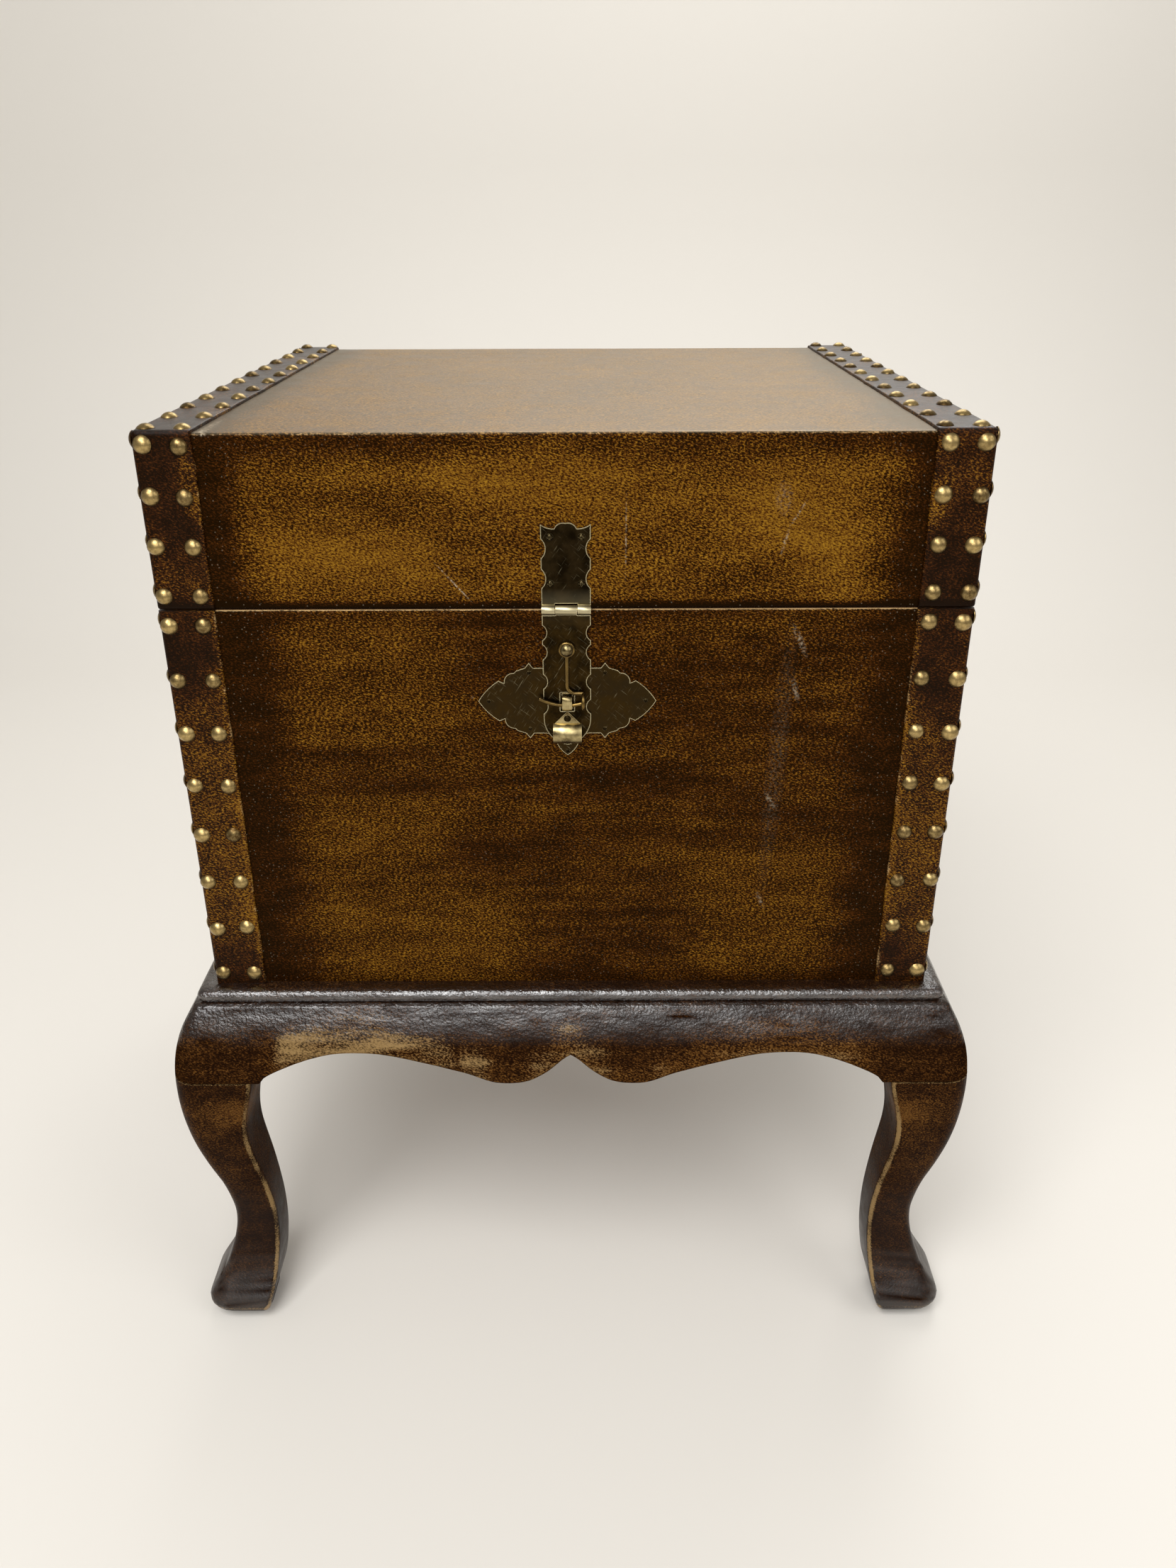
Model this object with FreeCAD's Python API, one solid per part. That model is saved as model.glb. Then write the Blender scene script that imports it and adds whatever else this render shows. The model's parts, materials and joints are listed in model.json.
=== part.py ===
import FreeCAD, Part
import math
import os

# Trunk side table: a leather-covered trunk with a hinged lid and a pin hasp, on a cabriole-legged stand.
# Millimetres. The origin is on the floor under the middle of the trunk, the front faces -Y and +Z is up.

Vector = FreeCAD.Vector

# Trunk, measured over the straps
TRUNK_W = 457.0
TRUNK_D = 426.0
BODY_H = 248.5
LID_H = 97.5
SEAM_GAP = 1.0
BOARD_T = 12.0
BOTTOM_T = 9.0

# Leather panels and straps, laid on the boards
PANEL_T = 1.4
PANEL_EDGE_R = 1.8
STRAP_W = 32.0
STRAP_T = 3.2
STRAP_EDGE_R = 3.0

# Dome nails of the straps: distances in from the edge that a strap wraps, and rows per stretch
NAIL_R = 5.0
NAIL_H = 3.0
NAIL_SHANK_R = 0.6
NAIL_SHANK_L = 9.0
NAIL_OUTER_IN = 5.5
NAIL_INNER_IN = 25.0
NAIL_END_IN = 8.0
NAIL_TOP_SHIFT = 1.6
NAIL_SIDE_LIFT = 2.2
BODY_NAIL_ROWS = 8
LID_NAIL_ROWS = 4
TOP_NAIL_ROWS = 12

# Stand: offsets are outward from the trunk's side, heights are down from the trunk's underside
STAND_H = 267.0
RAIL_H = 57.5
RAIL_IN = 3.0
BEAD_OUT = 11.0
BEAD_H = 9.0
GROOVE_OUT = 7.0
SWELL_TOP_OUT = 13.0
SWELL_MID_OUT = 21.2
SWELL_MID_DROP = 23.0
KNEE_OUT = 30.2
KNEE_IN = 28.7
KNEE_RISE = 2.2
CORNER_OUT = 14.6
ARCH_RISE = 19.6
CUSP_RISE = 18.2
DECK_T = 12.0
BLOCK_SIZE = 36.0
BLOCK_CHAMFER = 18.0

# Lower edge of a rail, from its middle to a knee: share of the clear half span, share of the arch's rise
SCALLOP = (
    (0.03, 0.74), (0.07, 0.39), (0.116, 0.14), (0.19, 0.0), (0.253, 0.05), (0.30, 0.19), (0.344, 0.327),
    (0.434, 0.577), (0.525, 0.796), (0.615, 0.96), (0.683, 1.0), (0.751, 0.98), (0.844, 0.786),
    (0.938, 0.423),
)

# Cabriole leg, from the floor to the knee: share of its height, outer face outside the trunk's side,
# inner face inside it, and the rounding of its outer edge
LEG_SECTIONS = (
    (0.0, 19.5, 9.8, 17.0), (0.025, 27.7, 10.4, 17.0), (0.06, 33.0, 13.0, 17.0), (0.11, 28.4, 16.2, 11.5),
    (0.17, 20.2, 18.2, 6.5), (0.24, 14.3, 19.5, 5.7), (0.31, 10.8, 19.9, 5.8), (0.38, 9.9, 19.7, 6.0),
    (0.45, 11.8, 18.9, 7.2), (0.52, 14.8, 17.8, 8.4), (0.59, 18.8, 16.4, 9.6), (0.66, 22.6, 14.8, 10.8),
    (0.73, 25.8, 13.6, 12.0), (0.80, 28.2, 13.9, 13.2), (0.87, 29.8, 16.2, 14.3), (0.935, 30.5, 19.6, 15.2),
    (1.0, KNEE_OUT, 22.0, KNEE_OUT - CORNER_OUT),
)
LEG_EDGE_R = 4.0

# Screws that hold the stand together
LEG_SCREW_R = 2.5
LEG_SCREW_BITE = 30.0
LEG_SCREW_IN = 10.5
DECK_SCREW_R = 2.0
DECK_SCREW_BITE = 6.0
DECK_SCREW_IN = 70.0
SCREW_HEAD_RATIO = 1.8
SCREW_HEAD_H = 2.6

# Rear butt hinges
HINGE_IN = 108.5
HINGE_W = 40.0
LEAF_H = 24.0
LEAF_T = 1.3
HINGE_KNUCKLE_R = 3.0
HINGE_PIN_R = 1.5
HINGE_SCREW_X = 12.0
HINGE_SCREW_R = 1.4
HINGE_SCREW_L = 11.0
LIP_L = 6.0
LIP_T = 1.4
LID_OPEN = 100.0
LIP_SPARE = 1.0

# Running clearances
PIN_CLEAR = 0.05
KNUCKLE_GAP = 0.3
LEAF_CLEAR = 0.6
AXIS_LIFT = 0.2

# Hasp: plates lie on the front leather, heights are from the seam
HASP_W = 27.4
PLATE_T = 1.2
LID_PLATE_H = 47.6
LID_PLATE_CROWN = 0.6
LID_PLATE_CROWN_X = 3.7
LID_PLATE_DIP = 2.4
LID_PLATE_DIP_X = 6.2
LID_PLATE_CORNER_DIP = 1.9
LID_PLATE_NOTCHES = (34.2, 17.3)
NOTCH_DEPTH = 2.4
LID_NOTCH_HALF = 5.4
STRAP_NOTCHES = (13.4, 25.0, 42.7, 58.0)
STRAP_NOTCH_HALF = 4.4
HASP_STRAP_L = 82.0
HASP_TIP_L = 16.0
HASP_TIP_MID_X = 10.3
HASP_TIP_MID_DROP = 9.6
HASP_STRAP_OUT = 1.3
BARREL_R = 2.6
BARREL_PIN_R = 1.2
BARREL_MID_W = 12.2
HASP_SCREW_X = 8.7
HASP_SCREW_HEIGHTS = (40.6, 14.6)
HASP_SCREW_HEAD_R = 2.1
HASP_SCREW_HEAD_H = 1.2
HASP_SCREW_R = 0.9
HASP_SCREW_L = 9.0
CROSS_SLOT_W = 0.6
CROSS_SLOT_L = 2.9

# Stud and locking pin
STUD_DROP = 22.9
STUD_NECK_R = 2.5
STUD_HEAD_R = 3.6
STUD_HEAD_H = 2.2
STUD_SHANK_R = 1.5
WIRE_R = 1.15
WIRE_GAP = 0.5
PIN_ARC_R = 33.6
PIN_TAIL_LEFT = 15.5
RING_RIGHT = 9.3
RING_R = 3.95
RING_DROP = 52.7
SHANK_BEND_R = 5.0
SHANK_END_DROP = 49.2

# Staple and its winged plate
WING_T = 1.0
WING_HALF_W = 51.4
WING_HALF_H = 34.2
WING_SPIKE_X = 21.8
WING_SPIKE_H = 23.3
WING_SPIKE_W = 2.4
WING_POINT_X = 3.9
WING_POINT_H = 30.7
WING_WAIST_X = 6.5
WING_WAIST_H = 26.0
WING_SCOOP_X = 8.6
WING_SCOOP_H = 22.0
WING_NECK_X = 12.6
WING_STEP_W = 7.2
WING_STEP_H = 3.1
WING_BARB_W = 3.2
WING_TIP_MID_X = 46.3
WING_TIP_MID_H = 6.8
STAPLE_W = 5.6
STAPLE_T = 1.2
STAPLE_H = 9.0
STAPLE_OUT = 7.0
STAPLE_BEND_R = 2.6
STAPLE_BITE = 7.0
STAPLE_DROP = 55.0
SLOT_CLEAR = 1.2
WING_NAIL_R = 1.1
WING_NAIL_H = 0.6
WING_NAIL_SHANK_R = 0.5
WING_NAIL_L = 8.0
WING_NAIL_IN = 6.0
WING_END_NAIL_IN = 2.6

# Pull tab
TAB_W = 16.6
TAB_T = 0.9
TAB_R = 6.3
TAB_DROP = 74.3
TAB_TONGUE = 7.5
TAB_RIVET_R = 1.2
TAB_RIVET_HEAD_R = 2.1
TAB_RIVET_HEAD_H = 1.0
TAB_RIVET_UP = 3.0

# Places worked out from the sizes above
BODY_Z = STAND_H
BODY_TOP = BODY_Z + BODY_H
SEAM_Z = BODY_TOP + SEAM_GAP / 2
LID_Z = BODY_TOP + SEAM_GAP
TOP_Z = LID_Z + LID_H
HALF_W = TRUNK_W / 2
HALF_D = TRUNK_D / 2
CORE_X = HALF_W - STRAP_T
CORE_Y = HALF_D - STRAP_T
CORE_TOP = TOP_Z - STRAP_T
PANEL_X = HALF_W - STRAP_W
PANEL_Y = HALF_D - STRAP_W
FRONT_Y = -(CORE_Y + PANEL_T)
REAR_Y = CORE_Y + PANEL_T
LEG_TOP = STAND_H - RAIL_H
BARREL_OUT = BARREL_R + AXIS_LIFT
HINGE_OUT = HINGE_KNUCKLE_R + AXIS_LIFT
HINGE_X = HALF_W - HINGE_IN
STRAP_FACE_OUT = HASP_STRAP_OUT + PLATE_T
WIRE_OUT = STRAP_FACE_OUT + WIRE_GAP + WIRE_R
EYE_R = STUD_NECK_R + PIN_CLEAR + WIRE_R
RING_OUT = STRAP_FACE_OUT + WIRE_GAP + RING_R + WIRE_R


def block(x0, x1, y0, y1, z0, z1):
    """Box between two corners."""
    return Part.makeBox(x1 - x0, y1 - y0, z1 - z0, Vector(x0, y0, z0))


def spread(count, first, last):
    """Evenly spaced values, both ends included."""
    step = (last - first) / (count - 1)
    return [first + step * index for index in range(count)]


def middles(values):
    """Values half way between neighbours."""
    return [(low + high) / 2 for low, high in zip(values, values[1:])]


def across_x(shape):
    return shape.mirror(Vector(0, 0, 0), Vector(1, 0, 0))


def across_y(shape):
    return shape.mirror(Vector(0, 0, 0), Vector(0, 1, 0))


def four_corners(suffix, prefix, shape):
    """Copies of a right rear piece at all four corners, by name."""
    return {
        prefix + "rear_right_" + suffix: shape,
        prefix + "rear_left_" + suffix: across_x(shape),
        prefix + "front_right_" + suffix: across_y(shape),
        prefix + "front_left_" + suffix: across_x(across_y(shape)),
    }


def path_edges(start, steps, place):
    """Lines (two numbers) and three-point arcs (four numbers) from a start, put in space by place."""
    edges = []
    here = start
    for step in steps:
        end = step[-2:]
        if len(step) == 2:
            edges.append(Part.LineSegment(place(*here), place(*end)).toShape())
        else:
            edges.append(Part.Arc(place(*here), place(*step[:2]), place(*end)).toShape())
        here = end
    return edges


def closed_face(edges):
    return Part.Face(Part.Wire(Part.__sortEdges__(edges)))


def turned(profile):
    """Solid of revolution about Z from a profile of (radius, height) steps that starts on the axis."""
    edges = path_edges(profile[0], profile[1:] + [profile[0]], lambda r, z: Vector(r, 0, z))
    return closed_face(edges).revolve(Vector(0, 0, 0), Vector(0, 0, 1), 360)


def dome_fastener(head_r, head_h, shank_r, shank_l):
    """Domed head on a round shank; the head's underside is at the origin and the dome faces +Z."""
    ball_r = (head_r ** 2 + head_h ** 2) / (2 * head_h)
    half_turn = math.asin(head_r / ball_r) / 2
    crown = (ball_r * math.sin(half_turn), head_h - ball_r + ball_r * math.cos(half_turn), 0, head_h)
    return turned([(0, -shank_l), (shank_r, -shank_l), (shank_r, 0), (head_r, 0), crown])


def placed(shape, point, normal):
    """Copy of a piece made along +Z, moved to a point and turned to face along normal."""
    copy = shape.copy()
    copy.Placement = FreeCAD.Placement(point, FreeCAD.Rotation(Vector(0, 0, 1), normal))
    return copy


def rod(radius, start, end):
    along = end - start
    return Part.makeCylinder(radius, along.Length, start, along)


def rounded(shape, radius, wanted):
    """Fillet of the edges whose middle passes the test."""
    edges = [edge for edge in shape.Edges if wanted(edge.CenterOfMass)]
    return shape.makeFillet(radius, edges)


def near(value, target):
    return abs(value - target) < 1e-3


# Stand

def rail_section(half_depth):
    """Bead, groove and swelling face of a rail, as a face across Y behind the line y = half_depth."""
    bead_r = BEAD_H / 2
    bead_in = BEAD_OUT - bead_r
    steps = [
        (bead_in, 0),
        (BEAD_OUT, -bead_r, GROOVE_OUT, -BEAD_H),
        (SWELL_TOP_OUT, -BEAD_H),
        (SWELL_MID_OUT, -SWELL_MID_DROP, KNEE_OUT, -RAIL_H),
        (-RAIL_IN, -RAIL_H),
        (-RAIL_IN, 0),
    ]
    place = lambda out, drop: Vector(0, half_depth + out, STAND_H + drop)
    return closed_face(path_edges((-RAIL_IN, 0), steps, place))


def scallop_cutter(half_width, depth):
    """Prism under a rail's lower edge: two lobes with a cusp between them, and an arch beside each knee."""
    clear = half_width - KNEE_IN
    waves = [(clear * along, ARCH_RISE * rise) for along, rise in SCALLOP]
    curve = [(0.0, CUSP_RISE)] + waves + [(clear, KNEE_RISE)]
    edges = []
    for side in (-1, 1):
        spline = Part.BSplineCurve()
        spline.interpolate([Vector(side * x, 0, LEG_TOP + rise) for x, rise in curve])
        edges.append(spline.toShape())
    below = LEG_TOP - RAIL_H
    knee = LEG_TOP + KNEE_RISE
    plan = [(-clear, knee), (-clear, below), (clear, below), (clear, knee)]
    corners = [Vector(x, 0, z) for x, z in plan]
    edges += [Part.LineSegment(a, b).toShape() for a, b in zip(corners, corners[1:])]
    return closed_face(edges).extrude(Vector(0, depth, 0))


def rail(half_width, half_depth):
    """Rail behind y = half_depth, mitred through the trunk's corners, its swelling face rounded there."""
    section = rail_section(half_depth)
    reach, deep = half_width + KNEE_OUT, half_depth + KNEE_OUT
    turn_x, turn_y = half_width + CORNER_OUT, half_depth + CORNER_OUT
    solid = section.extrude(Vector(2 * reach, 0, 0))
    solid.translate(Vector(-reach, 0, 0))
    inner = min(half_width, half_depth) / 2
    plan = [Vector(-reach, deep, 0), Vector(reach, deep, 0)]
    plan += [Vector(side * (half_width - inner), half_depth - inner, 0) for side in (1, -1)]
    wedge = Part.Face(Part.makePolygon(plan + plan[:1])).extrude(Vector(0, 0, STAND_H))
    square = block(turn_x, reach, turn_y, deep, LEG_TOP, STAND_H)
    swell = section.common(block(-reach, reach, turn_y, deep, LEG_TOP, STAND_H))
    swell.translate(Vector(turn_x, 0, 0))
    turned_end = swell.revolve(Vector(turn_x, turn_y, 0), Vector(0, 0, 1), -45)
    solid = solid.common(wedge).cut([square, across_x(square)])
    solid = solid.fuse([turned_end, across_x(turned_end)]).removeSplitter()
    return solid.cut(scallop_cutter(half_width, 2 * deep))


def rails():
    rear = rail(HALF_W, HALF_D)
    side = rail(HALF_D, HALF_W)
    side.rotate(Vector(0, 0, 0), Vector(0, 0, 1), -90)
    return {
        "stand_rear_rail": rear,
        "stand_front_rail": across_y(rear),
        "stand_right_rail": side,
        "stand_left_rail": across_x(side),
    }


def leg_section(height, outer, inner, outer_r):
    """Rounded square across the right rear leg, with a rounder outer corner."""
    x0, x1 = HALF_W - inner, HALF_W + outer
    y0, y1 = HALF_D - inner, HALF_D + outer
    r = LEG_EDGE_R
    k = r * (1 - math.sqrt(0.5))
    outer_k = outer_r * (1 - math.sqrt(0.5))
    steps = [
        (x1 - r, y0), (x1 - k, y0 + k, x1, y0 + r),
        (x1, y1 - outer_r), (x1 - outer_k, y1 - outer_k, x1 - outer_r, y1),
        (x0 + r, y1), (x0 + k, y1 - k, x0, y1 - r),
        (x0, y0 + r), (x0 + k, y0 + k, x0 + r, y0),
    ]
    return Part.Wire(path_edges((x0 + r, y0), steps, lambda x, y: Vector(x, y, height)))


def leg_screw_axis():
    return Vector(HALF_W - LEG_SCREW_IN, HALF_D - LEG_SCREW_IN, 0)


def legs():
    sections = [leg_section(share * LEG_TOP, *sizes) for share, *sizes in LEG_SECTIONS]
    leg = Part.makeLoft(sections, True, False)
    foot = leg_screw_axis() + Vector(0, 0, LEG_TOP - LEG_SCREW_BITE)
    hole = Part.makeCylinder(LEG_SCREW_R, LEG_SCREW_BITE, foot)
    return four_corners("leg", "", leg.cut(hole))


def stand_frame():
    """Deck under the trunk, blocks in the corners below it, and the screws through both."""
    deck_low = STAND_H - DECK_T
    deck = block(RAIL_IN - HALF_W, HALF_W - RAIL_IN, RAIL_IN - HALF_D, HALF_D - RAIL_IN, deck_low, STAND_H)
    x1, y1 = HALF_W - RAIL_IN, HALF_D - RAIL_IN
    x0, y0 = x1 - BLOCK_SIZE, y1 - BLOCK_SIZE
    plan = [(x1, y0), (x1, y1), (x0, y1), (x0, y0 + BLOCK_CHAMFER), (x0 + BLOCK_CHAMFER, y0)]
    corners = [Vector(x, y, LEG_TOP) for x, y in plan]
    corner = Part.Face(Part.makePolygon(corners + corners[:1])).extrude(Vector(0, 0, deck_low - LEG_TOP))
    head_r = LEG_SCREW_R * SCREW_HEAD_RATIO
    head_low = deck_low - SCREW_HEAD_H
    screw = turned([
        (0, LEG_TOP - LEG_SCREW_BITE), (LEG_SCREW_R, LEG_TOP - LEG_SCREW_BITE), (LEG_SCREW_R, head_low),
        (head_r, head_low), (head_r, deck_low), (0, deck_low),
    ])
    screw.translate(leg_screw_axis())
    deck_screw = turned([
        (0, deck_low - SCREW_HEAD_H), (DECK_SCREW_R * SCREW_HEAD_RATIO, deck_low - SCREW_HEAD_H),
        (DECK_SCREW_R * SCREW_HEAD_RATIO, deck_low), (DECK_SCREW_R, deck_low),
        (DECK_SCREW_R, STAND_H + DECK_SCREW_BITE), (0, STAND_H + DECK_SCREW_BITE),
    ])
    deck_screw.translate(Vector(HALF_W - DECK_SCREW_IN, HALF_D - DECK_SCREW_IN, 0))
    deck_screws = list(four_corners("", "", deck_screw).values())
    return {
        "stand_deck": deck.cut(Part.makeCompound(deck_screws)),
        "corner_blocks": Part.makeCompound(list(four_corners("", "", corner.cut(screw)).values())),
        "leg_screws": Part.makeCompound(list(four_corners("", "", screw).values())),
        "deck_screws": Part.makeCompound(deck_screws),
    }


# Trunk and lid

def box_walls(prefix, low, high):
    """Four upright boards: front and rear run the full width, the sides stand between them."""
    inner_y = CORE_Y - BOARD_T
    rear = block(-CORE_X, CORE_X, inner_y, CORE_Y, low, high)
    right = block(CORE_X - BOARD_T, CORE_X, -inner_y, inner_y, low, high)
    return {
        prefix + "rear_board": rear,
        prefix + "front_board": across_y(rear),
        prefix + "right_board": right,
        prefix + "left_board": across_x(right),
    }


def trunk_boards(deck_screws):
    inner_x, inner_y = CORE_X - BOARD_T, CORE_Y - BOARD_T
    boards = box_walls("trunk_", BODY_Z, BODY_TOP)
    bottom = block(-inner_x, inner_x, -inner_y, inner_y, BODY_Z, BODY_Z + BOTTOM_T)
    boards["trunk_bottom_board"] = bottom.cut(deck_screws)
    return boards


def lid_boards():
    boards = box_walls("lid_", LID_Z, CORE_TOP - BOARD_T)
    boards["lid_top_board"] = block(-CORE_X, CORE_X, -CORE_Y, CORE_Y, CORE_TOP - BOARD_T, CORE_TOP)
    return boards


def trunk_leather():
    edge_r = min(PANEL_EDGE_R, PANEL_T / 2)
    rear = block(-PANEL_X, PANEL_X, CORE_Y, REAR_Y, BODY_Z, BODY_TOP)
    rear = rounded(rear, edge_r, lambda p: near(p.y, REAR_Y) and near(p.z, BODY_TOP))
    side_x = CORE_X + PANEL_T
    right = block(CORE_X, side_x, -PANEL_Y, PANEL_Y, BODY_Z, BODY_TOP)
    right = rounded(right, edge_r, lambda p: near(p.x, side_x) and near(p.z, BODY_TOP))
    return {
        "trunk_rear_leather": rear,
        "trunk_front_leather": across_y(rear),
        "trunk_right_leather": right,
        "trunk_left_leather": across_x(right),
    }


def lid_leather():
    """One wrap over front, top and rear between the straps, and a panel in each side strap's window."""
    top = CORE_TOP + PANEL_T
    wrap = block(-PANEL_X, PANEL_X, FRONT_Y, REAR_Y, LID_Z, top)
    wrap = rounded(wrap, min(PANEL_EDGE_R, 2 * PANEL_T), lambda p: near(p.x, 0) and near(p.z, top))
    core = block(-PANEL_X, PANEL_X, -CORE_Y, CORE_Y, LID_Z, CORE_TOP)
    right = block(CORE_X, CORE_X + PANEL_T, -PANEL_Y, PANEL_Y, LID_Z, TOP_Z - STRAP_W)
    return {"lid_leather": wrap.cut(core), "lid_right_leather": right, "lid_left_leather": across_x(right)}


def trunk_straps():
    """Strap folded round each upright edge."""
    r = min(STRAP_EDGE_R, STRAP_T)
    k = r * (1 - math.sqrt(0.5))
    steps = [
        (HALF_W, HALF_D - r),
        (HALF_W - k, HALF_D - k, HALF_W - r, HALF_D),
        (PANEL_X, HALF_D), (PANEL_X, CORE_Y), (CORE_X, CORE_Y), (CORE_X, PANEL_Y), (HALF_W, PANEL_Y),
    ]
    section = closed_face(path_edges((HALF_W, PANEL_Y), steps, lambda x, y: Vector(x, y, BODY_Z)))
    return four_corners("strap", "trunk_", section.extrude(Vector(0, 0, BODY_H)))


def lid_straps():
    """Strap up the front, along the top and down the rear, folded over the side all the way."""
    r = min(STRAP_EDGE_R, STRAP_T)
    outer = block(PANEL_X, HALF_W, -HALF_D, HALF_D, LID_Z, TOP_Z)

    def folded(p):
        on_side, on_end, on_top = near(p.x, HALF_W), near(abs(p.y), HALF_D), near(p.z, TOP_Z)
        return on_side + on_end + on_top == 2

    outer = rounded(outer, r, folded)
    core = block(PANEL_X, CORE_X, -CORE_Y, CORE_Y, LID_Z, CORE_TOP)
    window = block(CORE_X, HALF_W, -PANEL_Y, PANEL_Y, LID_Z, TOP_Z - STRAP_W)
    strap = outer.cut(core).cut(window)
    return {"lid_right_strap": strap, "lid_left_strap": across_x(strap)}


def strap_nails():
    """Nails of the straps; side rows stand a little above the front rows, so that shanks pass each other."""
    nail = dome_fastener(NAIL_R, NAIL_H, NAIL_SHANK_R, NAIL_SHANK_L)
    body_rows = spread(BODY_NAIL_ROWS, BODY_Z + NAIL_END_IN, BODY_TOP - NAIL_END_IN)
    lid_rows = spread(LID_NAIL_ROWS, LID_Z + NAIL_END_IN, TOP_Z - NAIL_END_IN)
    top_rows = spread(TOP_NAIL_ROWS, NAIL_END_IN - HALF_D, HALF_D - NAIL_END_IN)
    trunk, lid = [], []
    for inset in (NAIL_OUTER_IN, NAIL_INNER_IN):
        x, y = HALF_W - inset, HALF_D - inset
        for rows, group in ((body_rows, trunk), (lid_rows, lid)):
            group += [placed(nail, Vector(x, HALF_D, z), Vector(0, 1, 0)) for z in rows]
            group += [placed(nail, Vector(x, -HALF_D, z), Vector(0, -1, 0)) for z in rows]
            for z in rows:
                feet = [Vector(HALF_W, side * y, z + NAIL_SIDE_LIFT) for side in (-1, 1)]
                group += [placed(nail, foot, Vector(1, 0, 0)) for foot in feet]
        top_x = x - NAIL_TOP_SHIFT
        lid += [placed(nail, Vector(top_x, row, TOP_Z), Vector(0, 0, 1)) for row in top_rows]
        side_rows = [row for row in middles(top_rows) if abs(row) < PANEL_Y - NAIL_R]
        lid += [placed(nail, Vector(HALF_W, row, TOP_Z - inset), Vector(1, 0, 0)) for row in side_rows]
    return {
        "trunk_strap_nails": Part.makeCompound(trunk + [across_x(solid) for solid in trunk]),
        "lid_strap_nails": Part.makeCompound(lid + [across_x(solid) for solid in lid]),
    }


# Rear hinges

def rear_hinge():
    """Butt hinge at x = 0: outer knuckles on the trunk leaf, middle one and a stop lip on the lid leaf."""
    half = HINGE_W / 2
    mid = HINGE_W / 6
    axis_y = REAR_Y + HINGE_OUT
    start = HINGE_KNUCKLE_R + LEAF_CLEAR
    leaf_y = REAR_Y + LEAF_T

    def knuckle(x0, x1, bore_r):
        barrel = rod(HINGE_KNUCKLE_R, Vector(x0, axis_y, SEAM_Z), Vector(x1, axis_y, SEAM_Z))
        return barrel, rod(bore_r, Vector(x0, axis_y, SEAM_Z), Vector(x1, axis_y, SEAM_Z))

    trunk_leaf = block(-half, half, REAR_Y, leaf_y, SEAM_Z - LEAF_H, SEAM_Z - start)
    for side in (-1, 1):
        x0, x1 = sorted((side * (mid + KNUCKLE_GAP), side * half))
        barrel, bore = knuckle(x0, x1, HINGE_PIN_R)
        web = block(x0, x1, REAR_Y + AXIS_LIFT, leaf_y, SEAM_Z - start, SEAM_Z)
        trunk_leaf = trunk_leaf.fuse([web, barrel]).cut(bore)

    barrel, bore = knuckle(-mid, mid, HINGE_PIN_R + PIN_CLEAR)
    web = block(-mid, mid, REAR_Y + AXIS_LIFT, leaf_y, SEAM_Z, SEAM_Z + start)
    lip = block(-mid, mid, axis_y, axis_y + LIP_L, SEAM_Z, SEAM_Z + LIP_T)
    landing = math.degrees(math.asin((HINGE_OUT - LEAF_T) / LIP_L))
    lip.rotate(Vector(0, axis_y, SEAM_Z), Vector(1, 0, 0), LID_OPEN + LIP_SPARE - landing - 90)
    lid_leaf = block(-half, half, REAR_Y, leaf_y, SEAM_Z + start, SEAM_Z + LEAF_H)
    lid_leaf = lid_leaf.fuse([web, barrel, lip]).cut(bore)

    pin = rod(HINGE_PIN_R, Vector(-half, axis_y, SEAM_Z), Vector(half, axis_y, SEAM_Z))
    return {"trunk_leaf": trunk_leaf.removeSplitter(), "lid_leaf": lid_leaf.removeSplitter(), "pin": pin}


def hinge_screws(leaf_side):
    """Screws of one leaf at x = 0, above (+1) or below (-1) the seam."""
    screw = dome_fastener(HINGE_SCREW_R * SCREW_HEAD_RATIO, HINGE_SCREW_R, HINGE_SCREW_R, HINGE_SCREW_L)
    height = SEAM_Z + leaf_side * (HINGE_KNUCKLE_R + LEAF_CLEAR + LEAF_H) / 2
    places = [Vector(x, REAR_Y + LEAF_T, height) for x in (-HINGE_SCREW_X, HINGE_SCREW_X)]
    return [placed(screw, point, Vector(0, 1, 0)) for point in places]


def rear_hinges():
    parts = {}
    hinge = rear_hinge()
    trunk_screws, lid_screws = hinge_screws(-1), hinge_screws(1)
    for leaf, screws in (("trunk_leaf", trunk_screws), ("lid_leaf", lid_screws)):
        hinge[leaf] = hinge[leaf].cut(Part.makeCompound(screws))
    groups = {"hinge_trunk_screws": trunk_screws, "hinge_lid_screws": lid_screws}
    for side, name in ((-1, "left"), (1, "right")):
        for piece, shape in hinge.items():
            parts[name + "_hinge_" + piece] = shape.translated(Vector(side * HINGE_X, 0, 0))
    for name, screws in groups.items():
        copies = [screw.translated(Vector(side * HINGE_X, 0, 0)) for side in (-1, 1) for screw in screws]
        parts[name] = Part.makeCompound(copies)
    return parts


# Hasp

def on_front(out):
    """Maps (x, height from the seam) to a plane that lies a distance out from the front leather."""
    return lambda x, height: Vector(x, FRONT_Y - out, SEAM_Z + height)


def front_plate(start, steps, out, thickness):
    """Plate on the front, from the right half of its outline, which starts and ends on the middle line."""
    right = path_edges(start, steps, on_front(out))
    edges = right + [across_x(edge) for edge in right]
    return closed_face(edges).extrude(Vector(0, -thickness, 0))


def front_rod(radius, x, height, out_low, out_high):
    return rod(radius, on_front(out_low)(x, height), on_front(out_high)(x, height))


def wavy_side(heights, half_length):
    """Steps down a plate's right side, with a scooped notch at each height."""
    half_w = HASP_W / 2
    steps = []
    for height in heights:
        steps.append((half_w, height + half_length))
        steps.append((half_w - NOTCH_DEPTH, height, half_w, height - half_length))
    return steps


def barrel_piece(x0, x1, bore_r):
    """Knuckle of the hasp's barrel and the bore through it."""
    place = on_front(BARREL_OUT)
    return rod(BARREL_R, place(x0, 0), place(x1, 0)), rod(bore_r, place(x0, 0), place(x1, 0))


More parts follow.
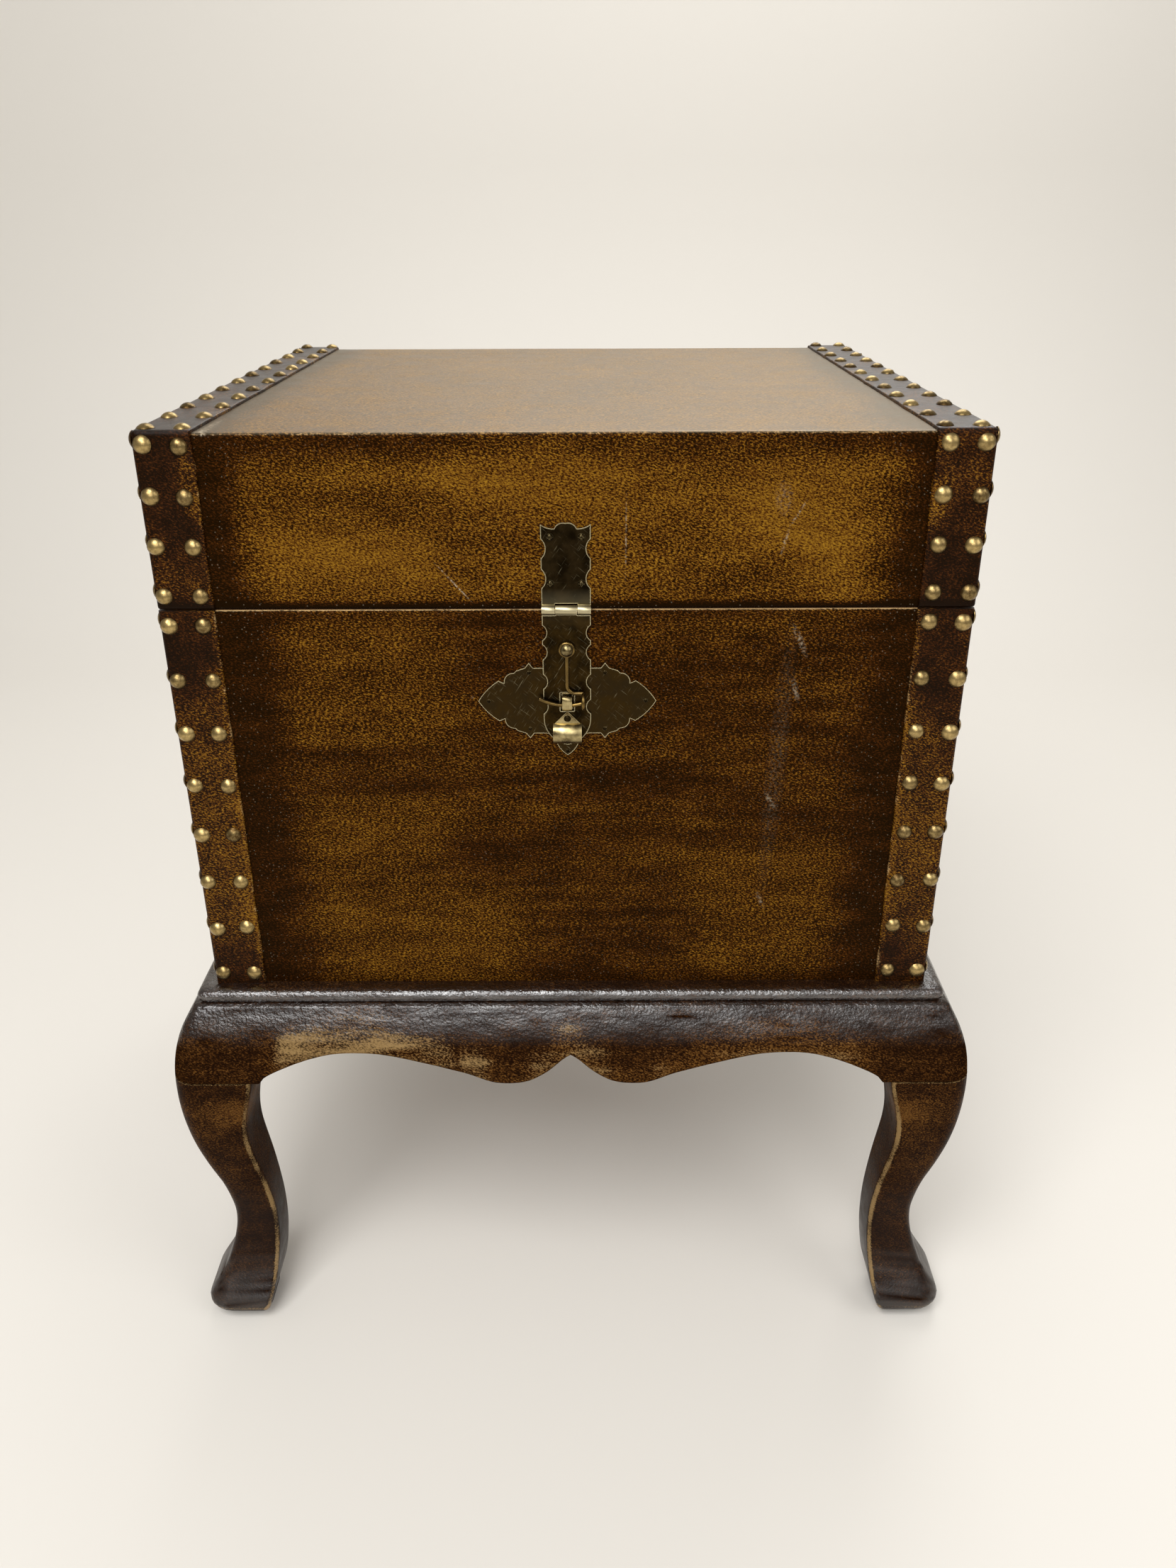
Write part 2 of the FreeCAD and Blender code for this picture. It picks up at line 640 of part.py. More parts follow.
def hasp_lid_plate(screws):
    half_w, top = HASP_W / 2, LID_PLATE_H
    low = BARREL_R + LEAF_CLEAR
    crown = (LID_PLATE_CROWN_X, top + LID_PLATE_CROWN / 2, LID_PLATE_DIP_X, top - LID_PLATE_DIP)
    corner = ((LID_PLATE_DIP_X + half_w) / 2, top - LID_PLATE_CORNER_DIP, half_w, top)
    steps = [crown, corner] + wavy_side(LID_PLATE_NOTCHES, LID_NOTCH_HALF) + [(half_w, low), (0, low)]
    plate = front_plate((0, top + LID_PLATE_CROWN), steps, 0, PLATE_T)
    inner = BARREL_MID_W / 2 + KNUCKLE_GAP
    for x0, x1 in ((-half_w, -inner), (inner, half_w)):
        knuckle, bore = barrel_piece(x0, x1, BARREL_PIN_R)
        web = block(x0, x1, FRONT_Y - PLATE_T, FRONT_Y - AXIS_LIFT, SEAM_Z, SEAM_Z + low)
        plate = plate.fuse([web, knuckle]).cut(bore)
    return plate.cut(screws).removeSplitter()


def hasp_screws():
    """Cross-headed screws of the lid plate."""
    screw = dome_fastener(HASP_SCREW_HEAD_R, HASP_SCREW_HEAD_H, HASP_SCREW_R, HASP_SCREW_L)
    reach, half = CROSS_SLOT_L / 2, CROSS_SLOT_W / 2
    floor = HASP_SCREW_HEAD_H / 2
    cross = block(-reach, reach, -half, half, floor, HASP_SCREW_HEAD_H)
    cross = cross.fuse(block(-half, half, -reach, reach, floor, HASP_SCREW_HEAD_H))
    screw = screw.cut(cross)
    points = [(x, height) for height in HASP_SCREW_HEIGHTS for x in (-HASP_SCREW_X, HASP_SCREW_X)]
    return Part.makeCompound([placed(screw, on_front(PLATE_T)(*point), Vector(0, -1, 0)) for point in points])


def hasp_strap():
    half_w = HASP_W / 2
    top = -(BARREL_R + LEAF_CLEAR)
    shoulder = HASP_TIP_L - HASP_STRAP_L
    sides = wavy_side([-drop for drop in STRAP_NOTCHES], STRAP_NOTCH_HALF)
    tip = [(half_w, shoulder), (HASP_TIP_MID_X, shoulder - HASP_TIP_MID_DROP, 0, -HASP_STRAP_L)]
    strap = front_plate((0, top), [(half_w, top)] + sides + tip, HASP_STRAP_OUT, PLATE_T)
    mid = BARREL_MID_W / 2
    knuckle, bore = barrel_piece(-mid, mid, BARREL_PIN_R + PIN_CLEAR)
    web = block(-mid, mid, FRONT_Y - STRAP_FACE_OUT, FRONT_Y - HASP_STRAP_OUT, SEAM_Z + top, SEAM_Z)
    slot_x = STAPLE_W / 2 + SLOT_CLEAR
    slot_z = STAPLE_H / 2 + SLOT_CLEAR
    staple_z = SEAM_Z - STAPLE_DROP
    slot = block(-slot_x, slot_x, FRONT_Y - STRAP_FACE_OUT, FRONT_Y - HASP_STRAP_OUT,
                 staple_z - slot_z, staple_z + slot_z)
    holes = [
        front_rod(STUD_SHANK_R, 0, -STUD_DROP, HASP_STRAP_OUT, STRAP_FACE_OUT),
        front_rod(TAB_RIVET_R, 0, tab_rivet_height(), HASP_STRAP_OUT, STRAP_FACE_OUT),
    ]
    return strap.fuse([web, knuckle]).cut([bore, slot] + holes).removeSplitter()


def pin_stud():
    """Stud riveted through the strap: shank, neck for the pin's eye, and a domed head."""
    neck_l = 2 * (WIRE_GAP + WIRE_R)
    head = dome_fastener(STUD_HEAD_R, STUD_HEAD_H, STUD_NECK_R, neck_l)
    stud = placed(head, on_front(STRAP_FACE_OUT + neck_l)(0, -STUD_DROP), Vector(0, -1, 0))
    return stud.fuse(front_rod(STUD_SHANK_R, 0, -STUD_DROP, HASP_STRAP_OUT, STRAP_FACE_OUT)).removeSplitter()


def locking_pin():
    """Bent wire: an eye on the stud, a shank, a finger ring, and a tail curved about the stud."""
    place = on_front(WIRE_OUT)
    facing = Vector(0, -1, 0)
    stud = place(0, -STUD_DROP)
    eye = Part.makeTorus(EYE_R, WIRE_R, stud, facing)
    bend_z = -SHANK_END_DROP + SHANK_BEND_R
    shank = rod(WIRE_R, place(0, -STUD_DROP - EYE_R), place(0, bend_z))
    bend = Part.makeTorus(SHANK_BEND_R, WIRE_R, place(SHANK_BEND_R, bend_z), facing)
    bend = bend.common(block(-WIRE_R, SHANK_BEND_R, stud.y - WIRE_R, stud.y + WIRE_R,
                             SEAM_Z - SHANK_END_DROP - WIRE_R, SEAM_Z + bend_z))
    foot = rod(WIRE_R, place(SHANK_BEND_R, -SHANK_END_DROP), place(RING_RIGHT, -SHANK_END_DROP))
    ring = Part.makeTorus(RING_R, WIRE_R, on_front(RING_OUT)(RING_RIGHT, -RING_DROP), Vector(1, 0, 0))
    tail = Part.makeTorus(PIN_ARC_R, WIRE_R, stud, facing)
    tail_end_z = -STUD_DROP - math.sqrt(PIN_ARC_R ** 2 - PIN_TAIL_LEFT ** 2)
    tail = tail.common(block(-PIN_TAIL_LEFT, RING_RIGHT, stud.y - WIRE_R, stud.y + WIRE_R,
                             stud.z - PIN_ARC_R - WIRE_R, stud.z))
    tip = Part.makeSphere(WIRE_R, place(-PIN_TAIL_LEFT, tail_end_z))
    return eye.fuse([shank, bend, foot, ring, tail, tip]).removeSplitter()


def staple():
    """Strip bent into a loop that stands out through the strap's slot, its legs driven into the front."""
    half, r = STAPLE_H / 2, STAPLE_BEND_R
    inner, inner_r = half - STAPLE_T, max(r - STAPLE_T, STAPLE_T / 4)
    k, inner_k = r * (1 - math.sqrt(0.5)), inner_r * (1 - math.sqrt(0.5))
    face = STAPLE_OUT - STAPLE_T
    steps = [
        (STAPLE_OUT - r, half), (STAPLE_OUT - k, half - k, STAPLE_OUT, half - r),
        (STAPLE_OUT, r - half), (STAPLE_OUT - k, k - half, STAPLE_OUT - r, -half),
        (-STAPLE_BITE, -half), (-STAPLE_BITE, -inner), (face - inner_r, -inner),
        (face - inner_k, inner_k - inner, face, inner_r - inner),
        (face, inner - inner_r), (face - inner_k, inner - inner_k, face - inner_r, inner),
        (-STAPLE_BITE, inner), (-STAPLE_BITE, half),
    ]
    low_x = -STAPLE_W / 2
    place = lambda out, up: Vector(low_x, FRONT_Y - out, SEAM_Z - STAPLE_DROP + up)
    return closed_face(path_edges((-STAPLE_BITE, half), steps, place)).extrude(Vector(STAPLE_W, 0, 0))


def wing_quarter():
    """Upper right quarter of the winged plate's outline, from its upper end to its right tip."""
    ledge = WING_SPIKE_H - WING_STEP_H
    half_step = WING_STEP_H / 2
    shoulder_x, shoulder_z = WING_SPIKE_X + WING_STEP_W, ledge - WING_STEP_H
    hip_x, hip_z = shoulder_x + WING_STEP_W, shoulder_z - 2 * WING_STEP_H
    return [
        (WING_POINT_X, WING_POINT_H, WING_WAIST_X, WING_WAIST_H),
        (WING_SCOOP_X, WING_SCOOP_H, WING_NECK_X, ledge),
        (WING_SPIKE_X - WING_SPIKE_W, ledge), (WING_SPIKE_X, WING_SPIKE_H),
        (WING_SPIKE_X + WING_SPIKE_W, ledge),
        (shoulder_x, shoulder_z + half_step), (shoulder_x + half_step, shoulder_z),
        (hip_x - half_step, shoulder_z - half_step, hip_x, hip_z),
        (hip_x + WING_BARB_W, hip_z + half_step),
        (WING_TIP_MID_X, WING_TIP_MID_H, WING_HALF_W, 0),
    ]


def staple_plate(cutters):
    """Winged plate: a pointed cross with stepped, scooped shoulders, the same in each quarter."""
    right = path_edges((0, WING_HALF_H), wing_quarter(), on_front(0))
    right += [edge.mirror(on_front(0)(0, 0), Vector(0, 0, 1)) for edge in right]
    plate = closed_face(right + [across_x(edge) for edge in right]).extrude(Vector(0, -WING_T, 0))
    return plate.translated(Vector(0, 0, -STAPLE_DROP)).cut(cutters)


def staple_plate_nails():
    """Small nails at the plate's spikes, side tips and lower end; the upper end is behind the strap."""
    nail = dome_fastener(WING_NAIL_R, WING_NAIL_H, WING_NAIL_SHANK_R, WING_NAIL_L)
    rise = WING_SPIKE_H - WING_NAIL_IN
    reach = WING_HALF_W - WING_NAIL_IN
    points = [(side * WING_SPIKE_X, up * rise) for side in (-1, 1) for up in (-1, 1)]
    points += [(-reach, 0), (reach, 0), (0, WING_END_NAIL_IN - WING_HALF_H)]
    places = [on_front(WING_T)(x, height - STAPLE_DROP) for x, height in points]
    return Part.makeCompound([placed(nail, point, Vector(0, -1, 0)) for point in places])


def tab_rivet_height():
    return TAB_R - TAB_DROP + TAB_RIVET_UP


def pull_tab():
    """Half-round finger lip with a pointed tongue above it, on the strap's face."""
    lip_top = TAB_R - TAB_DROP
    tongue = front_plate((0, lip_top + TAB_TONGUE), [(TAB_W / 2, lip_top - TAB_T), (0, lip_top - TAB_T)],
                         STRAP_FACE_OUT, TAB_T)
    place = on_front(STRAP_FACE_OUT)
    ends = place(-TAB_W / 2, -TAB_DROP), place(TAB_W / 2, -TAB_DROP)
    half = block(-TAB_W / 2, TAB_W / 2, ends[0].y - TAB_R, ends[0].y, ends[0].z - TAB_R, ends[0].z + TAB_R)
    lip = rod(TAB_R, *ends).cut(rod(TAB_R - TAB_T, *ends)).common(half)
    hole = front_rod(TAB_RIVET_R, 0, tab_rivet_height(), STRAP_FACE_OUT, STRAP_FACE_OUT + TAB_T)
    return tongue.fuse(lip).cut(hole).removeSplitter()


def tab_rivet():
    rivet = dome_fastener(TAB_RIVET_HEAD_R, TAB_RIVET_HEAD_H, TAB_RIVET_R, TAB_T + PLATE_T)
    return placed(rivet, on_front(STRAP_FACE_OUT + TAB_T)(0, tab_rivet_height()), Vector(0, -1, 0))


def hasp():
    screws = hasp_screws()
    loop = staple()
    nails = staple_plate_nails()
    place = on_front(BARREL_OUT)
    return {
        "hasp_lid_plate": hasp_lid_plate(screws),
        "hasp_screws": screws,
        "hasp_hinge_pin": rod(BARREL_PIN_R, place(-HASP_W / 2, 0), place(HASP_W / 2, 0)),
        "hasp_strap": hasp_strap(),
        "pin_stud": pin_stud(),
        "locking_pin": locking_pin(),
        "hasp_pull_tab": pull_tab(),
        "tab_rivet": tab_rivet(),
        "staple_plate": staple_plate([loop, nails]),
        "staple": loop,
        "staple_plate_nails": nails,
    }


def main():
    frame = stand_frame()
    parts = {**rails(), **legs(), **frame}
    parts.update(trunk_boards(frame["deck_screws"]))
    parts.update({**trunk_leather(), **trunk_straps()})
    parts.update({**lid_boards(), **lid_leather(), **lid_straps(), **strap_nails()})
    parts.update({**rear_hinges(), **hasp()})
    os.makedirs("parts", exist_ok=True)
    for name, shape in parts.items():
        shape.exportStep(os.path.join("parts", name + ".step"))
    print(len(parts), "nodes,", sum(len(shape.Solids) for shape in parts.values()), "solids")


main()
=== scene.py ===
"""Looks of the trunk side table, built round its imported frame. Metres, front at -Y, +Z up."""

import json
import math
import random

import bmesh
import bpy
from bpy.props import FloatProperty, FloatVectorProperty, IntProperty, PointerProperty
from mathutils import Matrix, Vector, noise

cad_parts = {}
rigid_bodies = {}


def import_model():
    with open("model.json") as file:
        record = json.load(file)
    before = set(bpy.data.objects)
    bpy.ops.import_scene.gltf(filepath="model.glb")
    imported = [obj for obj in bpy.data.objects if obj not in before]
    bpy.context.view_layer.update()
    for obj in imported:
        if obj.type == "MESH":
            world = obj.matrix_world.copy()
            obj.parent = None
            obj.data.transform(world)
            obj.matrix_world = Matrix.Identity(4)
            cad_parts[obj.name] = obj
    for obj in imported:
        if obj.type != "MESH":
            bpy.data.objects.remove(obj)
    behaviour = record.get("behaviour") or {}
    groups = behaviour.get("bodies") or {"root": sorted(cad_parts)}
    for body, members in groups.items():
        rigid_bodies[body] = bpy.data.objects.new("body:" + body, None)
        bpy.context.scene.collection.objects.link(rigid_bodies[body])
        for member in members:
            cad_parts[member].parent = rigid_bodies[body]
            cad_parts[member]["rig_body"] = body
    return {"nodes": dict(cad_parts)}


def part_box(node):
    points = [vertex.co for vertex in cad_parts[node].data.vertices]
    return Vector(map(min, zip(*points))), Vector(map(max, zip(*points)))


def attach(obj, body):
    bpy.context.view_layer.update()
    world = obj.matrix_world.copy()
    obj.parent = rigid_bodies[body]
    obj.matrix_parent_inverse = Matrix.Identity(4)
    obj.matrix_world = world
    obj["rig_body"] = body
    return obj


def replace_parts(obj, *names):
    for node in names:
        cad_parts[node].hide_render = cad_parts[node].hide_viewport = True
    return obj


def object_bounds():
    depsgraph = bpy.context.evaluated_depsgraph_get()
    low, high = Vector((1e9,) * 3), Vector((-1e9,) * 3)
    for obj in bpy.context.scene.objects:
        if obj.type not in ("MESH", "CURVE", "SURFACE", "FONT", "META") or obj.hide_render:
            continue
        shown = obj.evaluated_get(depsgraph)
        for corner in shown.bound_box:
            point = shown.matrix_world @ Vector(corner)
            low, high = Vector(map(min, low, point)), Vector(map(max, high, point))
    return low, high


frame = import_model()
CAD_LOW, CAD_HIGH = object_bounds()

bl_info = {
    "name": "Trunk Side Table",
    "version": (1, 0, 0),
    "blender": (4, 5, 0),
    "location": "3D View > Sidebar > Trunk Table",
    "description": "Leather, nails and metalwork of a trunk side table on its packed frame",
    "category": "Object",
}

MM = 0.001
NODES = frame["nodes"]
CORNERS = {"rear_right": (1, 1), "rear_left": (-1, 1), "front_right": (1, -1), "front_left": (-1, -1)}

# Places read from the frame: outside of the straps, their inner edges, and the boards under them
HALF_W, HALF_D, BODY_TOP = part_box("trunk_rear_right_strap")[1]
PANEL_X, PANEL_Y, BODY_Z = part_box("trunk_rear_right_strap")[0]
LID_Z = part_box("lid_right_strap")[0].z
TOP_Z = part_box("lid_right_strap")[1].z
CORE_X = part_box("trunk_right_board")[1].x
CORE_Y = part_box("trunk_rear_board")[1].y
CORE_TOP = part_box("lid_top_board")[1].z
WRAP_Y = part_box("lid_leather")[1].y
WRAP_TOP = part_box("lid_leather")[1].z
KNEE_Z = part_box("rear_right_leg")[1].z
APRON_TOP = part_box("stand_front_rail")[1].z
RAIL_IN = HALF_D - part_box("stand_rear_rail")[0].y
STRAP_W = HALF_W - PANEL_X


def linear(hex_code):
    """Linear RGBA of an sRGB hex value."""
    shares = [int(hex_code[at:at + 2], 16) / 255 for at in (1, 3, 5)]
    return [c / 12.92 if c <= 0.04045 else ((c + 0.055) / 1.055) ** 2.4 for c in shares] + [1.0]


def length(name, millimetres, description):
    return FloatProperty(name=name, description=description, default=millimetres * MM, min=0.0,
                         unit="LENGTH", precision=5)


def colour(name, hex_code, description):
    return FloatVectorProperty(name=name, description=description, default=linear(hex_code), size=4,
                               min=0.0, max=1.0, subtype="COLOR")


class TrunkTableSizes(bpy.types.PropertyGroup):
    """Sizes of the finish that a user would change."""

    grain: length("Leather grain", 1.5, "Width of one pebble of the leather's grain")
    step: length("Mesh step", 4.0, "Spacing of the points across leather pieces")
    sag: length("Panel waviness", 0.3, "How far the glued leather dips between high spots")
    panel_roll: length("Panel edge", 1.2, "Radius of a leather panel's folded edge")
    strap_fold: length("Strap fold", 3.0, "Radius of a strap's fold round the trunk's edge")
    strap_cut: length("Strap cut edge", 0.9, "Rounding of a strap's cut edge")
    cut_wander: length("Cut wander", 0.5, "How far a hand-cut strap edge wanders")
    apron_corner: length("Apron corner", 5.0, "Least plan radius of the apron's wrapped corners")
    apron_turn: length("Apron turn", 14.6, "How far outside the trunk the apron's corners are centred")
    apron_roll: length("Apron lower edge", 3.0, "Rounding of the apron's scalloped edge")
    leg_edge: length("Leg edge", 4.5, "Rounding of a leg's inner and side edges")
    nail_radius: length("Nail radius", 5.0, "Radius of a strap nail's head")
    nail_height: length("Nail height", 3.0, "Height of a strap nail's dome")
    side_depth: length("Side nail depth", 0.9, "How much lower the domes of the side nails are")
    nail_wander: length("Nail wander", 0.7, "How far a hand-driven nail strays from its mark")
    metal_edge: length("Plate edge", 0.18, "Bevel of the stamped plates' edges")


class TrunkTableColours(bpy.types.PropertyGroup):
    """Colours of the finish."""

    leather_dark: colour("Leather stain", "#130700", "Burnished stain in the panels' grain and edges")
    leather_middle: colour("Leather, thin stain", "#472408", "Red-brown where the stain lies thin")
    leather_warm: colour("Leather ground", "#8c661a", "Ochre leather rubbed clear of stain")
    leather_pale: colour("Leather wear", "#a3855a", "Bare leather at folded and scuffed edges")
    stand_dark: colour("Stand stain", "#170b05", "Near-black finish of the wrapped stand")
    stand_middle: colour("Stand, thin stain", "#40260f", "Brown where the stand's lacquer lies thin")
    stand_warm: colour("Stand ground", "#6e4c22", "Brown leather that shows through on the stand")
    stand_pale: colour("Stand wear", "#836a45", "Leather rubbed bare on the stand's edges")
    scuff: colour("Scuff", "#a89a84", "Chalky scuffs on the front")
    nail: colour("Nail brass", "#b09865", "Antiqued brass of the nails")
    nail_dull: colour("Nail patina", "#4c3a21", "Brown patina round the nails' rims")
    bronze: colour("Bronze", "#150f06", "Blackened plates of the hasp")
    bronze_light: colour("Bronze, relieved", "#2c2212", "Plates of the hasp where the black is polished thin")
    bronze_brown: colour("Bronze, browned", "#34260f", "Plates where the wheel took most of the black")
    brass: colour("Brass", "#c0ae7e", "Bare brass of the staple, tab and studs")
    # Made paler than bare brass so that it also paints the highlight the rims and knuckle catch
    rim: colour("Plate rims", "#e6d8ae", "Bare brass on the plates' rims and the hasp's knuckle")
    wire: colour("Wire patina", "#4b3d25", "Brown patina of the locking pin, studs, staple and tab")
    hinge: colour("Hinge brass", "#7c6436", "Aged brass of the rear hinges, screws and locking pin")
    wax: colour("Wax", "#f3dcae", "Amber cast that the wax gives the panels' shine")
    wood: colour("Board", "#7a5433", "Stained boards inside the trunk")
    wood_line: colour("Board grain", "#4a2f1b", "Darker grain lines of the boards")
    floor: colour("Floor", "#dcd8d1", "Plain floor and backdrop")


def sizes():
    return bpy.context.scene.trunk_table_sizes


def colours():
    return bpy.context.scene.trunk_table_colours


# Mesh helpers

def evenly(count, first, last):
    """Evenly spaced values, both ends included."""
    return [first + (last - first) * index / (count - 1) for index in range(count)]


def spread(first, last, step):
    """Evenly spaced values no further apart than step, both ends included."""
    return evenly(1 + max(1, math.ceil(abs(last - first) / step)), first, last)


def fade(low, high, value):
    """Smooth rise from 0 at low to 1 at high."""
    share = min(1.0, max(0.0, (value - low) / (high - low)))
    return share * share * (3 - 2 * share)


def cloud(point, patch, seed):
    """Soft noise from -1 to 1 whose patches have about the given size in millimetres along each axis."""
    scaled = Vector([along / (size * MM) for along, size in zip(point, patch)])
    return noise.fractal(scaled + Vector((seed, seed, seed)), 1.0, 2.0, 3)


def ring_faces(first, count, rings, closed=False):
    """Faces that join rings of count points, the first point given; an open run has a cap at each end."""
    faces = []
    for ring in range(rings if closed else rings - 1):
        near, far = first + ring * count, first + (ring + 1) % rings * count
        for here in range(count):
            after = (here + 1) % count
            faces.append((near + here, near + after, far + after, far + here))
    if not closed:
        last = first + (rings - 1) * count
        faces += [tuple(range(first, first + count)), tuple(range(last, last + count))]
    return faces


def tube(name, rings, closed=False):
    """Mesh that joins each ring of points to the next."""
    count = len(rings[0])
    if any(len(ring) != count for ring in rings):
        raise ValueError(f"the rings of {name} differ in their number of points")
    mesh = bpy.data.meshes.new(name)
    points = [tuple(point) for ring in rings for point in ring]
    mesh.from_pydata(points, [], ring_faces(0, count, len(rings), closed))
    return mesh


def dress(mesh, body, material, masks, sharp=40.0):
    """Object of a mesh, with its masks and material, that rides on a body."""
    for key, values in masks.items():
        mesh.attributes.new(key, "FLOAT", "POINT").data.foreach_set("value", values)
    form = bmesh.new()
    form.from_mesh(mesh)
    bmesh.ops.remove_doubles(form, verts=form.verts, dist=1e-6)
    bmesh.ops.recalc_face_normals(form, faces=form.faces)
    form.to_mesh(mesh)
    form.free()
    mesh.shade_smooth()
    mesh.set_sharp_from_angle(angle=math.radians(sharp))
    mesh.materials.append(material)
    piece = bpy.data.objects.new(mesh.name, mesh)
    bpy.context.scene.collection.objects.link(piece)
    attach(piece, body)
    return piece


def body_of(node):
    return NODES[node]["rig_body"]


def hit(node, start, along):
    """Where a ray first meets a CAD node."""
    found, place, _, _ = NODES[node].ray_cast(Vector(start), Vector(along))
    if not found:
        raise RuntimeError(f"no surface of {node} lies along the ray from {tuple(start)}")
    return place


# Materials

def add(tree, kind, links=None, out=0, **settings):
    """Adds a shader node with its settings, links or values on its inputs, and returns one of its outputs."""
    made = tree.nodes.new("ShaderNode" + kind)
    for key, value in settings.items():
        setattr(made, key, value)
    for key, value in (links or {}).items():
        if isinstance(value, bpy.types.NodeSocket):
            tree.links.new(value, made.inputs[key])
        else:
            made.inputs[key].default_value = value
    return made.outputs[out] if made.outputs else made


def new_material(name):
    """Empty material with a surface shader, its tree and that shader."""
    made = bpy.data.materials.new(name)
    made.use_nodes = True
    return made, made.node_tree, made.node_tree.nodes["Principled BSDF"]


def stain_of(hide):
    """Colours of a hide's stain, from whole to worn off."""
    return [getattr(colours(), hide + "_" + shade) for shade in ("dark", "middle", "warm", "pale")]


def leather(name, hide, fleck_size, bold, rough, stretch=1.0, relief=0.35):
    """Antiqued leather: a warm hide under a dark stain that was wiped off in flecks, bare on worn folds."""
    made, tree, shader = new_material(name)
    dark, middle, warm, pale = stain_of(hide)
    place = add(tree, "TexCoord", out="Object")
    tone = add(tree, "Attribute", attribute_name="tone", out="Fac")
    rub = add(tree, "Attribute", attribute_name="rub", out="Fac")
    # Wiped flecks lie along the cloth's stroke, a little down to the right
    stroke = add(tree, "Mapping", {"Vector": place, "Rotation": (0, 0.3, 0), "Scale": (1.0, 1.0, 0.5)},
                 vector_type="TEXTURE")
    fleck = add(tree, "TexNoise", {"Vector": stroke, "Scale": 1 / fleck_size, "Detail": 3.0,
                                   "Roughness": 0.65})
    drawn = add(tree, "Mapping", {"Vector": place, "Scale": (stretch, stretch, 1.0)}, vector_type="TEXTURE")
    mottle = add(tree, "TexNoise", {"Vector": drawn, "Scale": 1 / (9 * MM), "Detail": 4.0})
    pebble = add(tree, "TexVoronoi", {"Vector": place, "Scale": 1 / sizes().grain}, out="Distance",
                 feature="SMOOTH_F1")
    swing = add(tree, "Math", {0: fleck, 1: 0.5}, operation="SUBTRACT")
    # Flecks stand out where the stain is half wiped, less where it is whole or nearly gone
    depth = add(tree, "MapRange", {0: tone, 1: 0.04, 2: 0.14, 3: 0.4 * bold, 4: bold})
    spent = add(tree, "MapRange", {0: tone, 1: 0.24, 2: 0.4, 3: 1.0, 4: 0.7})
    depth = add(tree, "Math", {0: depth, 1: spent}, operation="MULTIPLY")
    level = add(tree, "Math", {0: swing, 1: depth, 2: tone}, operation="MULTIPLY_ADD")
    level = add(tree, "Math", {0: mottle, 1: 0.32, 2: level}, operation="MULTIPLY_ADD")
    thin = add(tree, "MapRange", {0: level, 1: 0.13, 2: 0.52, 3: 0.0, 4: 1.0},
               interpolation_type="SMOOTHSTEP")
    cleared = add(tree, "MapRange", {0: level, 1: 0.38, 2: 0.92, 3: 0.0, 4: 1.0})
    worn = add(tree, "Math", {0: swing, 1: 1.2, 2: rub}, operation="MULTIPLY_ADD")
    worn = add(tree, "MapRange", {0: worn, 1: 0.4, 2: 0.85, 3: 0.0, 4: 1.0}, interpolation_type="SMOOTHSTEP")
    skin = add(tree, "Mix", {0: thin, 6: dark, 7: middle}, out=2, data_type="RGBA")
    skin = add(tree, "Mix", {0: cleared, 6: skin, 7: warm}, out=2, data_type="RGBA")
    skin = add(tree, "Mix", {0: worn, 6: skin, 7: pale}, out=2, data_type="RGBA")
    gloss = add(tree, "MapRange", {0: mottle, 1: 0.3, 2: 0.7, 3: rough - 0.06, 4: rough + 0.08})
    height = add(tree, "Math", {0: fleck, 1: pebble}, operation="SUBTRACT")
    bump = add(tree, "Bump", {"Height": height, "Strength": relief, "Distance": 0.25 * MM})
    for key, socket in (("Base Color", skin), ("Roughness", gloss), ("Normal", bump)):
        tree.links.new(socket, shader.inputs[key])
    shader.inputs["IOR"].default_value = 1.5
    return made, tree, shader


def shine_upward(tree, shader, shine, wax):
    """Adds wax to the shine of upward faces, which are dusted and polished most."""
    facing = add(tree, "SeparateXYZ", {0: add(tree, "TexCoord", out="Normal")}, out="Z")
    gleam = add(tree, "MapRange", {0: facing, 1: 0.6, 2: 0.95, 3: shine, 4: shine + wax})
    tree.links.new(gleam, shader.inputs["Specular IOR Level"])


def shine_of_lacquer(tree, shader, whole, least, most):
    """Shine that follows how much lacquer is left, up to the mask's value for a whole coat."""
    lacquer = add(tree, "Attribute", attribute_name="lacquer", out="Fac")
    gleam = add(tree, "MapRange", {0: lacquer, 1: 0.0, 2: whole, 3: least, 4: most})
    tree.links.new(gleam, shader.inputs["Specular IOR Level"])


# Scuffs on the front: start and end x and z and half width in millimetres, and how pale. They are coarser
# than the real hairlines, which would not show
FRONT_SCUFFS = (
    (-73, 543, -51, 518, 0.6, 0.9), (33, 584, 33, 530, 0.6, 0.5), (128, 520, 119, 320, 7.0, 0.06),
    (131, 577, 121, 560, 0.9, 0.5), (122, 562, 118, 545, 1.2, 0.5), (117, 588, 119, 566, 6.0, 0.14),
    (127, 508, 137, 486, 2.4, 0.4), (129, 476, 134, 458, 2.2, 0.35), (117, 403, 125, 389, 2.0, 0.35),
    (116, 334, 122, 320, 2.0, 0.3), (-56, 463, -54, 463, 1.2, 1.5), (-196, 613, -188, 611, 1.6, 0.9),
)
SCUFF_DEPTH = 50 * MM


